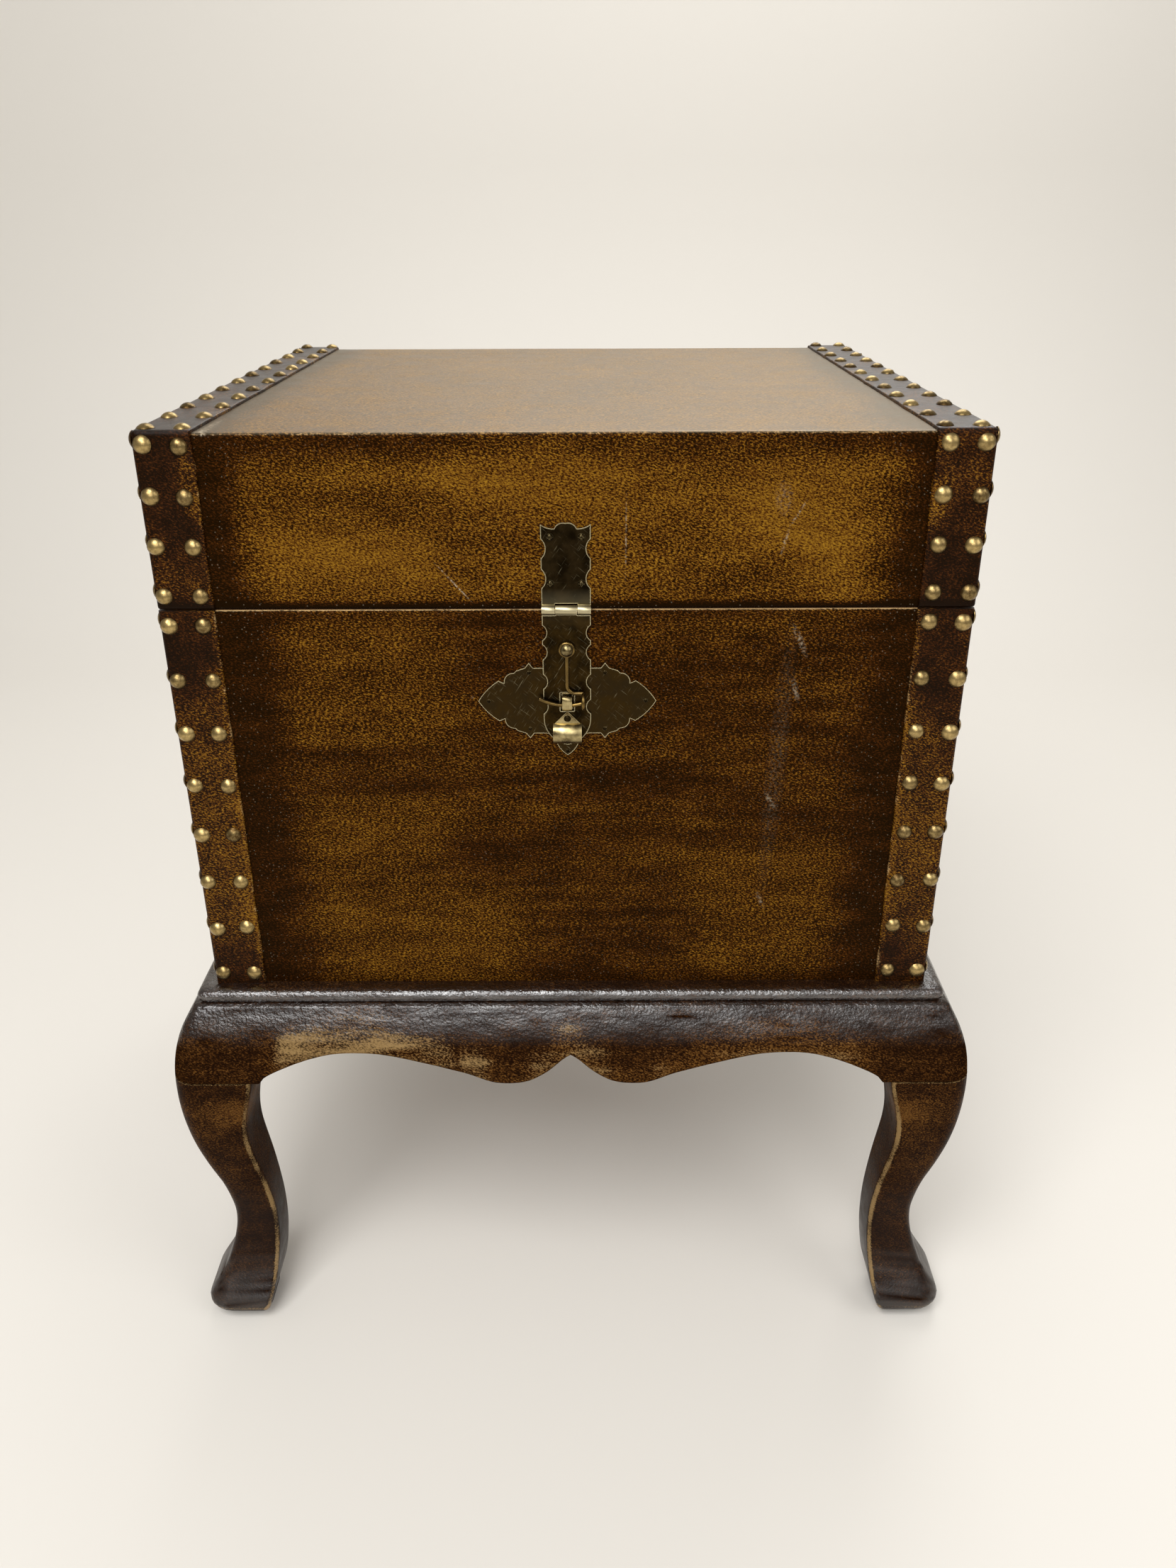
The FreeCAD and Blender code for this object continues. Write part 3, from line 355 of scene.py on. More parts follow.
def panel_leather():
    # Glued sheep leather, stained and wiped: ochre centres crossed by fine flecks, dark borders, a soft shine
    c = colours()
    made, tree, shader = leather("waxed panel leather", "leather", 1.6 * MM, 2.7, 0.42, stretch=3.0)
    shine_upward(tree, shader, 0.04, 1.7)
    shader.inputs["Specular Tint"].default_value = c.wax
    place = add(tree, "TexCoord", out="Object")
    broken = add(tree, "TexNoise", {"Vector": place, "Scale": 1 / (1.6 * MM), "Detail": 2.0})
    broken = add(tree, "MapRange", {0: broken, 1: 0.46, 2: 0.62, 3: 0.05, 4: 1.0})
    skin = shader.inputs["Base Color"].links[0].from_socket
    # Pale pores prick the dark borders, drawn about twice their size
    tone = add(tree, "Attribute", attribute_name="tone", out="Fac")
    pore = add(tree, "TexVoronoi", {"Vector": place, "Scale": 1 / (2.8 * MM)}, out="Distance")
    pore = add(tree, "MapRange", {0: pore, 1: 0.17, 2: 0.1, 3: 0.0, 4: 0.18})
    dark = add(tree, "MapRange", {0: tone, 1: 0.14, 2: 0.05, 3: 0.0, 4: 1.0})
    pore = add(tree, "Math", {0: pore, 1: dark}, operation="MULTIPLY")
    skin = add(tree, "Mix", {0: pore, 6: skin, 7: c.scuff}, out=2, data_type="RGBA")
    for x0, z0, x1, z1, width, strength in FRONT_SCUFFS:
        middle = Vector(((x0 + x1) / 2 * MM, -WRAP_Y, (z0 + z1) / 2 * MM))
        reach = math.dist((x0, z0), (x1, z1)) / 2 * MM
        turn = (0, math.atan2(z0 - z1, x1 - x0), 0)
        here = add(tree, "Mapping", {"Vector": place, "Location": middle, "Rotation": turn,
                                     "Scale": (reach, SCUFF_DEPTH, width * MM)}, vector_type="TEXTURE")
        away = add(tree, "VectorMath", {0: here}, out="Value", operation="LENGTH")
        mask = add(tree, "MapRange", {0: away, 1: 1.0, 2: 0.2, 3: 0.0, 4: strength})
        mask = add(tree, "Math", {0: mask, 1: broken}, operation="MULTIPLY", use_clamp=True)
        skin = add(tree, "Mix", {0: mask, 6: skin, 7: c.scuff}, out=2, data_type="RGBA")
    tree.links.new(skin, shader.inputs["Base Color"])
    return made


def strap_leather():
    # Thicker harness leather: a darker stain with bolder ochre flecks, bare along the cut edge
    made, tree, shader = leather("burnished strap leather", "leather", 1.6 * MM, 2.7, 0.4)
    shine_upward(tree, shader, 0.06, 0.5)
    return made


def stand_leather():
    # Leather shrunk onto carved wood and lacquered nearly black: wet shine on the mouldings, tan where rubbed
    made, tree, shader = leather("lacquered stand leather", "stand", 1.5 * MM, 2.6, 0.17, relief=0.8)
    shine_of_lacquer(tree, shader, 1.2, 0.0, 1.8)
    # Shrunken hide lies in lumps that break up the highlights
    drawn = add(tree, "Mapping", {"Vector": add(tree, "TexCoord", out="Object"), "Scale": (1.5, 1.5, 1.0)},
                vector_type="TEXTURE")
    lump = add(tree, "TexNoise", {"Vector": drawn, "Scale": 1 / (1.9 * MM), "Detail": 2.0})
    grain = shader.inputs["Normal"].links[0].from_socket
    bump = add(tree, "Bump", {"Height": lump, "Strength": 0.8, "Distance": 0.8 * MM, "Normal": grain})
    tree.links.new(bump, shader.inputs["Normal"])
    return made


def leg_leather():
    # The same leather below the apron: brown, handled smooth, with little fleck, and shine left on the toes
    made, tree, shader = leather("rubbed leg leather", "stand", 1.3 * MM, 2.3, 0.34)
    shine_of_lacquer(tree, shader, 1.0, 0.012, 0.75)
    return made


# How far from its pin the hasp's knuckle reaches, and how far the painted reflection round it spreads
KNUCKLE_REACH = 3.2 * MM
REFLECTION_REACH = 12 * MM


def metal(name, dark, light, bright, rough, rim_width, painted_reflection=None):
    """Patinated metal: clouded, crossed by fine scratches, bright on its rims, partly as bare brass and
    partly as painted highlight.

    Where a share is given for it, the hasp's knuckle is bright too, partly polish and partly painted
    highlight, and the metal next to it gets a painted reflection of that share.
    """
    made, tree, shader = new_material(name)
    place = add(tree, "TexCoord", out="Object")
    patch = add(tree, "TexNoise", {"Vector": place, "Scale": 1 / (9 * MM), "Detail": 4.0, "Roughness": 0.6})
    patch = add(tree, "MapRange", {0: patch, 1: 0.35, 2: 0.65, 3: 0.0, 4: 1.0})
    skin = add(tree, "Mix", {0: patch, 6: dark, 7: light}, out=2, data_type="RGBA")
    # Rims found by the bevel: partly brass bared by the wheel, partly painted highlight where the edges catch
    # the light
    soft = add(tree, "Bevel", {"Radius": rim_width}, samples=4)
    flat = add(tree, "NewGeometry", out="Normal")
    along = add(tree, "VectorMath", {0: soft, 1: flat}, out="Value", operation="DOT_PRODUCT")
    bare = add(tree, "MapRange", {0: along, 1: 0.99, 2: 0.92, 3: 0.0, 4: 1.0})
    # Scratches of the wheel in two directions, drawn wide enough to show
    for turn in (0.7, -1.0):
        drawn = add(tree, "Mapping", {"Vector": place, "Rotation": (0, turn, 0), "Scale": (16.0, 1.0, 1.0)},
                    vector_type="TEXTURE")
        line = add(tree, "TexNoise", {"Vector": drawn, "Scale": 1 / (0.5 * MM), "Detail": 1.0})
        line = add(tree, "MapRange", {0: line, 1: 0.68, 2: 0.8, 3: 0.0, 4: 0.13})
        bare = add(tree, "Math", {0: bare, 1: line}, operation="MAXIMUM")
    if painted_reflection is not None:
        # Knuckle bright round its pin, partly polish and partly painted highlight, then a painted reflection
        # fading away from it
        low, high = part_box("hasp_hinge_pin")
        reach = add(tree, "VectorMath", {0: place, 1: (low + high) / 2}, operation="SUBTRACT")
        reach = add(tree, "VectorMath", {0: reach, 1: (0, 1, 1)}, operation="MULTIPLY")
        reach = add(tree, "VectorMath", {0: reach}, out="Value", operation="LENGTH")
        rolled = add(tree, "MapRange", {0: reach, 1: KNUCKLE_REACH, 2: 2.7 * MM, 3: 0.0, 4: 0.55})
        knuckle_reflection = add(tree, "MapRange", {0: reach, 1: REFLECTION_REACH, 2: 4 * MM, 3: 0.0, 4: painted_reflection})
        for rubbed in (rolled, knuckle_reflection):
            bare = add(tree, "Math", {0: bare, 1: rubbed}, operation="MAXIMUM")
    skin = add(tree, "Mix", {0: bare, 6: skin, 7: bright}, out=2, data_type="RGBA")
    gloss = add(tree, "MapRange", {0: patch, 1: 0.0, 2: 1.0, 3: rough - 0.06, 4: rough + 0.06})
    tree.links.new(skin, shader.inputs["Base Color"])
    tree.links.new(gloss, shader.inputs["Roughness"])
    shader.inputs["Metallic"].default_value = 1.0
    return made


def nail_brass():
    # Pressed brass domes, antiqued: pale crowns, brown round the rim, each nail a little different
    c = colours()
    made, tree, shader = new_material("antiqued nail brass")
    place = add(tree, "TexCoord", out="Object")
    shade = add(tree, "Attribute", attribute_name="shade", out="Fac")
    patch = add(tree, "TexNoise", {"Vector": place, "Scale": 1 / (2 * MM), "Detail": 5.0})
    dull = add(tree, "Math", {0: patch, 1: 1.3, 2: shade}, operation="MULTIPLY_ADD")
    dull = add(tree, "MapRange", {0: dull, 1: 0.55, 2: 1.4, 3: 0.0, 4: 1.0})
    skin = add(tree, "Mix", {0: dull, 6: c.nail, 7: c.nail_dull}, out=2, data_type="RGBA")
    gloss = add(tree, "MapRange", {0: patch, 1: 0.3, 2: 0.7, 3: 0.24, 4: 0.42})
    tree.links.new(skin, shader.inputs["Base Color"])
    tree.links.new(gloss, shader.inputs["Roughness"])
    shader.inputs["Metallic"].default_value = 1.0
    return made


def board_wood(name, stretch):
    # Stained softwood board: long grain lines about 3 mm apart, matt
    c = colours()
    made, tree, shader = new_material(name)
    place = add(tree, "TexCoord", out="Object")
    drawn = add(tree, "Mapping", {"Vector": place, "Scale": stretch})
    line = add(tree, "TexNoise", {"Vector": drawn, "Scale": 1 / (3 * MM), "Detail": 5.0, "Distortion": 0.4})
    broad = add(tree, "TexNoise", {"Vector": drawn, "Scale": 1 / (25 * MM), "Detail": 2.0})
    grain = add(tree, "Math", {0: line, 1: broad}, operation="ADD")
    grain = add(tree, "MapRange", {0: grain, 1: 0.8, 2: 1.2, 3: 0.0, 4: 1.0})
    skin = add(tree, "Mix", {0: grain, 6: c.wood, 7: c.wood_line}, out=2, data_type="RGBA")
    bump = add(tree, "Bump", {"Height": line, "Strength": 0.2, "Distance": 0.2 * MM})
    tree.links.new(skin, shader.inputs["Base Color"])
    tree.links.new(bump, shader.inputs["Normal"])
    shader.inputs["Roughness"].default_value = 0.6
    return made


# Leather panels

# Places on the front that were wiped clearer: x and z ranges in millimetres, and by how much
FRONT_PATCHES = (
    (-172, -75, 528, 562, 0.1), (-66, 62, 565, 600, 0.08), (88, 166, 548, 596, 0.12),
    (123, 191, 520, 552, 0.12), (-167, -69, 436, 507, 0.06), (-161, -74, 349, 397, 0.08),
    (-155, -33, 271, 335, 0.09), (74, 180, 274, 362, 0.06),
)
PATCH_SOFT = 16 * MM
BORDER_TONE = 0.02


def front_patches(x, z):
    """Change of tone at a place on the front."""
    total = 0.0
    for x0, x1, z0, z1, gain in FRONT_PATCHES:
        inside_x = fade(-PATCH_SOFT, PATCH_SOFT, min(x - x0 * MM, x1 * MM - x))
        inside_z = fade(-PATCH_SOFT, PATCH_SOFT, min(z - z0 * MM, z1 * MM - z))
        total += gain * inside_x * inside_z
    return total


def lid_hem_shade(z):
    """How much darker the lid's lower edge is painted: painted shade where it rounds under into the gap."""
    return 0.35 * (1 - fade(0.8 * MM, 2.4 * MM, z - LID_Z))


def panel_tone(across, half, place):
    """How far a panel is wiped clear: dark next to the straps, streaked in the middle, clearest on the lid,
    lighter over the lid's top as painted reflection, darker along the lid's lower edge as painted shade.
    """
    x, y, z = place
    if z > LID_Z - 1 * MM:
        # Along the lid's lower edge, hem is painted shade
        border, middle, streaked, banded, hem = 34 * MM, 0.23, 0.08, 0.0, lid_hem_shade(z)
    else:
        border, middle, streaked, banded, hem = 46 * MM, 0.105, 0.05, 0.05, 0.0
    if y < -CORE_Y:
        wiped = front_patches(x, z) - 0.13 * fade(TOP_Z - 24 * MM, TOP_Z - 8 * MM, z)
    else:
        # Lighter over the lid's top: painted reflection, not wiping
        wiped = 0.2 * fade(CORE_TOP, TOP_Z, z)
    stray = 9 * MM * cloud(place, (60, 60, 60), 3.1)
    sides = fade(2 * MM, border, half - abs(across) + stray)
    streak = streaked * cloud(place, (110, 110, 26), 7.7)
    band = banded * cloud(place, (150, 150, 7), 2.2)
    return BORDER_TONE - hem + sides * (middle - BORDER_TONE + streak + band + wiped)


def flat_path(node):
    """Stations up a flat panel to its rolled top: an outer and an inner point each, as (out, height)."""
    low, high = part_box(node)
    thin = 0 if high.x - low.x < high.y - low.y else 1
    side = 1 if low[thin] + high[thin] > 0 else -1
    outer, inner = (high[thin], low[thin]) if side > 0 else (low[thin], high[thin])
    roll = min(sizes().panel_roll, abs(outer - inner))
    stations = [((outer, z), (inner, z)) for z in spread(low.z, high.z - roll, sizes().step)]
    for turn in spread(0, math.pi / 2, math.pi / 8)[1:]:
        z = high.z - roll + roll * math.sin(turn)
        stations.append(((outer - side * roll * (1 - math.cos(turn)), z), (inner, z)))
    return thin, stations


def wrap_path():
    """Stations of the lid's wrap, up its front, over the top and down the rear."""
    roll = 2 * sizes().panel_roll
    hem = sizes().panel_roll
    front = []
    for turn in spread(0, math.pi / 2, math.pi / 8)[:-1]:
        z = LID_Z + hem * (1 - math.cos(turn))
        front.append(((hem - WRAP_Y - hem * math.sin(turn), z), (-CORE_Y, z)))
    front += [((-WRAP_Y, z), (-CORE_Y, z)) for z in spread(LID_Z + hem, WRAP_TOP - roll, sizes().step)]
    for turn in spread(0, math.pi / 2, math.pi / 12)[1:]:
        out = (roll - WRAP_Y - roll * math.cos(turn), WRAP_TOP - roll + roll * math.sin(turn))
        front.append((out, (-CORE_Y, CORE_TOP)))
    rear = [((-out[0], out[1]), (-core[0], core[1])) for out, core in front[::-1]]
    top = [((y, WRAP_TOP), (y, CORE_TOP)) for y in spread(front[-1][0][0], rear[0][0][0], sizes().step)[1:-1]]
    return front + top + rear


def panel_mesh(name, stations, thin, half):
    """Closed sheet of leather across a path, with its tone and rub masks."""
    rings, tone, rub = [], [], []
    cross = spread(-half, half, sizes().step)
    runs = [0.0]
    for (here, _), (after, _) in zip(stations, stations[1:]):
        runs.append(runs[-1] + math.dist(here, after))
    folds = [run for run, (out, _) in zip(runs, stations) if is_fold(out, thin)]
    for run, (out, core) in zip(runs, stations):
        ring = []
        from_low, from_high = run, runs[-1] - run
        from_fold = min([abs(run - fold) for fold in folds] or [1.0])
        inward = (Vector(core) - Vector(out)).normalized()
        for across in cross:
            dip = sizes().sag * (0.5 + 0.5 * cloud((across, run, 0.0), (70, 70, 70), 1.3))
            here = Vector(out) + inward * dip * fade(0, 12 * MM, min(from_low, from_high, half - abs(across)))
            point = (across, here[0], here[1]) if thin == 1 else (here[0], across, here[1])
            ring.append(point)
            tone.append(panel_tone(across, half, point))
            nick = 0.35 * cloud(point, (9, 9, 9), 5.5)
            cut = 0.9 * (1 - fade(0.3 * MM, 2.2 * MM, from_high))
            crease = 0.5 * (1 - fade(0.3 * MM, 1.6 * MM, from_fold))
            rub.append(max(0.0, max(cut, crease) * (1 + nick)))
        for across in (half, -half):
            ring.append((across, core[0], core[1]) if thin == 1 else (core[0], across, core[1]))
            tone.append(0.0)
            rub.append(0.0)
        rings.append(ring)
    return tube(name, rings), {"tone": tone, "rub": rub}


def is_fold(out, thin):
    """True at the middle of the wrap's two folds."""
    roll = 2 * sizes().panel_roll
    middle = (WRAP_Y - roll * (1 - math.sqrt(0.5)), WRAP_TOP - roll * (1 - math.sqrt(0.5)))
    return thin == 1 and math.dist((abs(out[0]), out[1]), middle) < 0.2 * MM


class TRUNK_OT_panels(bpy.types.Operator):
    """Leather panels of the trunk and its lid"""

    bl_idname = "trunk_table.panels"
    bl_label = "Leather Panels"

    def execute(self, context):
        skin = panel_leather()
        for side in ("front", "rear", "left", "right"):
            self.flat("trunk_" + side + "_leather", "trunk_" + side + "_panel", skin)
        for side in ("left", "right"):
            self.flat("lid_" + side + "_leather", "lid_" + side + "_panel", skin)
        mesh, masks = panel_mesh("lid_wrap", wrap_path(), 1, PANEL_X)
        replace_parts(dress(mesh, "lid", skin, masks), "lid_leather")
        return {"FINISHED"}

    def flat(self, node, name, skin):
        thin, stations = flat_path(node)
        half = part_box(node)[1][1 - thin]
        mesh, masks = panel_mesh(name, stations, thin, half)
        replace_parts(dress(mesh, body_of(node), skin, masks), node)


# Straps

def strap_masks(points, inner_edge, outer_fold):
    """Nearly plain on the lid, ochre in patches down the trunk but for its foot, bare on the very edges, with
    painted shade along the lid's lower edge.
    """
    tone, rub = [], []
    for point, edge, fold in zip(points, inner_edge, outer_fold):
        z = point[2]
        # On the lid, hem is painted shade along its lower edge; it darkens tone and rub alike
        ochre, hem = (0.03, lid_hem_shade(z)) if z > BODY_TOP else (0.1, 0.0)
        blotch = cloud(point, (40, 40, 40), 9.2)
        # Lighter down the trunk but not at its foot, which stays darker: partly stain, partly painted shade
        # where the trunk meets the stand
        wiped = (1 - fade(BODY_Z + 110 * MM, LID_Z, z)) * fade(BODY_Z + 12 * MM, BODY_Z + 48 * MM, z)
        wipe = max(0.0, cloud(point, (30, 30, 30), 6.6))
        edged = (ochre + 0.3 * wipe) * (1 - fade(0.5 * MM, (3 + 12 * wipe) * MM, edge))
        tone.append(0.05 + 0.13 * wiped + 0.1 * blotch + edged - hem)
        nick = 0.4 * cloud(point, (7, 7, 7), 2.4)
        bare = (0.2 + 1.6 * ochre + nick) * (1 - fade(0.2 * MM, 2.4 * MM, min(edge, fold)))
        rub.append(max(0.0, bare - hem))
    return {"tone": tone, "rub": rub}


def strap_section(cut, wander):
    """Rounded cut edge of a strap, as steps of (distance from its inner edge, drop in from its face)."""
    turns = spread(0, math.pi / 2, math.pi / 6)[::-1]
    return [(cut - cut * math.sin(turn) + wander, cut - cut * math.cos(turn)) for turn in turns]


def corner_strap(name, sign_x, sign_y):
    """Strap folded round one upright edge of the trunk."""
    s = sizes()
    fold, cut = s.strap_fold, s.strap_cut
    rings, points, edges, folds = [], [], [], []
    turns = spread(0, math.pi / 2, math.pi / 10)
    across = math.ceil(STRAP_W / s.step)
    for z in spread(BODY_Z, BODY_TOP, s.step):
        wander = s.cut_wander * cloud((sign_x, sign_y, z), (1000, 1000, 26), 4.0)
        rim = strap_section(cut, wander)
        leg_x = [(PANEL_X + wander, CORE_Y)] + [(PANEL_X + at, HALF_D - drop) for at, drop in rim]
        leg_x += [(x, HALF_D) for x in evenly(across, leg_x[-1][0], HALF_W - fold)[1:]]
        bend = [(HALF_W - fold + fold * math.sin(a), HALF_D - fold + fold * math.cos(a)) for a in turns[1:]]
        leg_y = [(CORE_X, PANEL_Y + wander)] + [(HALF_W - drop, PANEL_Y + at) for at, drop in rim]
        leg_y += [(HALF_W, y) for y in evenly(across, leg_y[-1][1], HALF_D - fold)[1:-1]]
        plan = leg_x + bend + leg_y[::-1] + [(CORE_X, CORE_Y)]
        rings.append([(sign_x * x, sign_y * y, z) for x, y in plan])
        points += rings[-1]
        edges += [min(abs(x - PANEL_X) if x < CORE_X else 1.0, abs(y - PANEL_Y) if y < CORE_Y else 1.0)
                  for x, y in plan]
        folds += [math.dist((x, y), (HALF_W, HALF_D)) for x, y in plan]
    return tube(name, rings), strap_masks(points, edges, folds)


def lid_strap(name, sign):
    """Strap up the lid's front, along its top and down its rear, folded over the side all the way."""
    s = sizes()
    fold, cut = s.strap_fold, s.strap_cut
    hem = fold / 2
    turns = spread(0, math.pi / 2, math.pi / 10)
    front = []
    for a in turns[:-1]:
        face = (hem - HALF_D - hem * math.sin(a), LID_Z + hem * (1 - math.cos(a)))
        front.append((face, (-1.0, 0.0)))
    front += [((-HALF_D, z), (-1.0, 0.0)) for z in spread(LID_Z + hem, TOP_Z - fold, s.step)]
    for a in turns[1:-1]:
        out = (-math.cos(a), math.sin(a))
        front.append(((fold - HALF_D + fold * out[0], TOP_Z - fold + fold * out[1]), out))
    rear = [((-y, z), (-ny, nz)) for (y, z), (ny, nz) in front[::-1]]
    top = [((y, TOP_Z), (0.0, 1.0)) for y in spread(fold - HALF_D, HALF_D - fold, s.step)]
    rings, points, edges, folds = [], [], [], []
    low_side = TOP_Z - STRAP_W
    for (y, z), out in front + top + rear:
        run = y + z
        wander = s.cut_wander * cloud((sign, 0.0, run), (1000, 1000, 26), 8.0)
        inner = Vector((y, z)) - Vector(out) * (HALF_D - CORE_Y)
        free = Vector((max(-PANEL_Y, min(PANEL_Y, y)), min(low_side, z)))
        ring = [(PANEL_X + wander, inner.x, inner.y)]
        marks = [(0.0, STRAP_W)]
        for at, drop in strap_section(cut, wander):
            face = Vector((y, z)) - Vector(out) * drop
            ring.append((PANEL_X + at, face.x, face.y))
            marks.append((abs(at - wander), STRAP_W))
        for x in evenly(math.ceil(STRAP_W / s.step), PANEL_X + cut + wander, HALF_W - fold)[1:]:
            ring.append((x, y, z))
            marks.append((x - PANEL_X, HALF_W - x))
        for a in turns[1:]:
            face = Vector((y, z)) - Vector(out) * fold * (1 - math.cos(a))
            ring.append((HALF_W - fold + fold * math.sin(a), face.x, face.y))
            marks.append((STRAP_W, abs(a - math.pi / 4) * fold))
        start = Vector((y, z)) - Vector(out) * fold
        for share in spread(0, 1, s.step / STRAP_W)[1:-1]:
            side = start.lerp(free, share)
            ring.append((HALF_W, side.x, side.y))
            marks.append(((1 - share) * STRAP_W, share * STRAP_W))
        ring += [(HALF_W - cut, free.x, free.y), (CORE_X, free.x, free.y)]
        marks += [(0.0, STRAP_W)] * 2
        ring.append((CORE_X, inner.x, inner.y))
        marks.append((STRAP_W, STRAP_W))
        rings.append([(sign * x, py, pz) for x, py, pz in ring])
        points += rings[-1]
        edges += [edge for edge, _ in marks]
        folds += [at for _, at in marks]
    return tube(name, rings), strap_masks(points, edges, folds)


class TRUNK_OT_straps(bpy.types.Operator):
    """Straps folded round the trunk's edges"""

    bl_idname = "trunk_table.straps"
    bl_label = "Leather Straps"

    def execute(self, context):
        skin = strap_leather()
        for corner, signs in CORNERS.items():
            mesh, masks = corner_strap("corner_strap_" + corner, *signs)
            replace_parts(dress(mesh, "trunk", skin, masks), "trunk_" + corner + "_strap")
        for side, sign in (("left", -1), ("right", 1)):
            mesh, masks = lid_strap("lid_band_" + side, sign)
            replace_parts(dress(mesh, "lid", skin, masks), "lid_" + side + "_strap")
        return {"FINISHED"}


# Stand

# Scalloped edge: how far past a strap's inner edge it runs, and the share at which a lobe is lowest
SCALLOP_PAST = 3.3 * MM
LOBE_SHARE = 0.19

# How far inside the trunk's corners the apron's straight runs end
CORNER_LEAD = 10 * MM
STAND_MASKS = ("tone", "rub", "lacquer")


def apron_profile():
    """Outline of the rails' outer face as (height, distance out from the trunk), read off the front rail."""
    lobe = LOBE_SHARE * (PANEL_X + SCALLOP_PAST)
    moulding = spread(APRON_TOP - 0.2 * MM, APRON_TOP - 13 * MM, 0.8 * MM)
    swell = spread(APRON_TOP - 15 * MM, KNEE_Z + 0.5 * MM, 2.5 * MM)
    far = CAD_LOW.y - 0.05
    return [(z, -HALF_D - hit("stand_front_rail", (lobe, far, z), (0, 1, 0)).y) for z in moulding + swell]


def out_at(profile, z):
    """Distance out of the apron's face at a height."""
    for (high, out_high), (low, out_low) in zip(profile, profile[1:]):
        if high >= z >= low:
            return out_high + (out_low - out_high) * (high - z) / (high - low)
    return profile[-1][1] if z < profile[-1][0] else profile[0][1]


def apron_stations():
    """Places round the apron: the rail, how far along it, and a function from distance out to plan."""
    step = sizes().step * 0.75
    stations = []
    straight_x, straight_y = HALF_W - CORNER_LEAD, HALF_D - CORNER_LEAD
    sides = (
        ("stand_front_rail", straight_x, lambda t, o: (t, -HALF_D - o)),
        ("stand_right_rail", straight_y, lambda t, o: (HALF_W + o, t)),
        ("stand_rear_rail", straight_x, lambda t, o: (-t, HALF_D + o)),
        ("stand_left_rail", straight_y, lambda t, o: (-HALF_W - o, -t)),
    )
    for index, (node, reach, plan) in enumerate(sides):
        along = spread(-reach, 0, step) + spread(0, reach, step)[1:]
        stations += [(node, t, lambda o, t=t, plan=plan: plan(t, o)) for t in along]
        quarter = Matrix.Rotation(index * math.pi / 2, 2)
        half = (HALF_W, HALF_D) if index % 2 == 0 else (HALF_D, HALF_W)
        for share in spread(0, 1, 1 / 14)[1:-1]:
            stations.append((None, 0.0, lambda o, share=share, quarter=quarter, half=half:
                             quarter @ corner_point(share, half, o)))
    return stations


def corner_point(share, half, out):
    """Point of a rounded corner in plan, from the end of one straight (0) to the start of the next (1)."""
    x, y = half[0] + out, half[1] + out
    start_x, start_y = half[0] - CORNER_LEAD, half[1] - CORNER_LEAD
    radius = max(sizes().apron_corner, out - sizes().apron_turn)
    lead_x, lead_y = x - radius - start_x, y - radius - start_y
    arc = radius * math.pi / 2
    run = share * (lead_x + arc + lead_y)
    if run < lead_x:
        return Vector((start_x + run, -y))
    if run < lead_x + arc:
        turn = (run - lead_x) / radius
        return Vector((x - radius + radius * math.sin(turn), -y + radius - radius * math.cos(turn)))
    return Vector((x, -y + radius + run - lead_x - arc))


def apron_masks(point, node, t, low):
    """Tone, rub and lacquer of the apron at a point over its lower edge: bare on the scallops, wet above."""
    z = point[2]
    above = z - low
    blotch = cloud(point, (50, 50, 8), 6.1)
    scallop = fade(2 * MM, 10 * MM, low - KNEE_Z + (6 * MM if abs(t) < 70 * MM and node else 0))
    knee = 0.06 * (1 - scallop) * (1 - fade(APRON_TOP - 30 * MM, APRON_TOP - 16 * MM, z))
    tone = 0.02 + 0.07 * blotch + knee + 0.22 * scallop * (1 - fade(0, 34 * MM, above))
    side = fade(30 * MM, -30 * MM, t) if node == "stand_front_rail" else 0.5
    lobe = 1 - fade(52 * MM, 74 * MM, abs(t)) if node else 0.0
    bare = (0.25 + 0.32 * max(side, 0.7 * lobe)) * (1 - fade(10 * MM, 40 * MM, above)) + 0.32 * blotch
    rub = max(0.0, scallop * bare * (1 - fade(20 * MM, 42 * MM, above)))
    wet = 0.6 + 0.7 * cloud(point, (24, 24, 4), 4.4)
    bead = 0.5 * fade(APRON_TOP - 10 * MM, APRON_TOP - 8 * MM, z)
    lacquer = 0.65 * wet * fade(APRON_TOP - 34 * MM, APRON_TOP - 12 * MM, z) + bead
    return tone, rub, lacquer


def apron_mesh():
    """Apron in one wrapped run round the stand, with its lower edge rolled under."""
    # Above this height the face keeps the moulding's outline; below, it follows the scallops
    free_z = APRON_TOP - 24 * MM
    # Rays rise from under the scallops, close enough to the trunk to meet every rail
    ray_out, ray_z = 4 * MM, 0.1
    least_roll = 0.6 * MM
    profile = apron_profile()
    rings, masks = [], []
    for node, t, plan in apron_stations():
        low = hit(node, (*plan(ray_out), ray_z), (0, 0, 1)).z if node else KNEE_Z
        roll = least_roll + (sizes().apron_roll - least_roll) * fade(0, 6 * MM, low - KNEE_Z)
        steps = [(APRON_TOP, -RAIL_IN), (APRON_TOP, profile[0][1] * 0.5)]
        for z, out in profile:
            if z < free_z:
                z = low + roll + (z - KNEE_Z) * (free_z - low - roll) / (free_z - KNEE_Z)
                out = out_at(profile, z)
            steps.append((z, out))
        edge_out = steps[-1][1]
        for turn in spread(0, math.pi / 2, math.pi / 8)[1:]:
            steps.append((low + roll - roll * math.sin(turn), edge_out - roll * (1 - math.cos(turn))))
        steps.append((low, -RAIL_IN))
        rings.append([(*plan(out), z) for z, out in steps])
        masks += [apron_masks(point, node, t, low) for point in rings[-1]]
    return tube("wrapped_apron", rings, closed=True), dict(zip(STAND_MASKS, zip(*masks)))


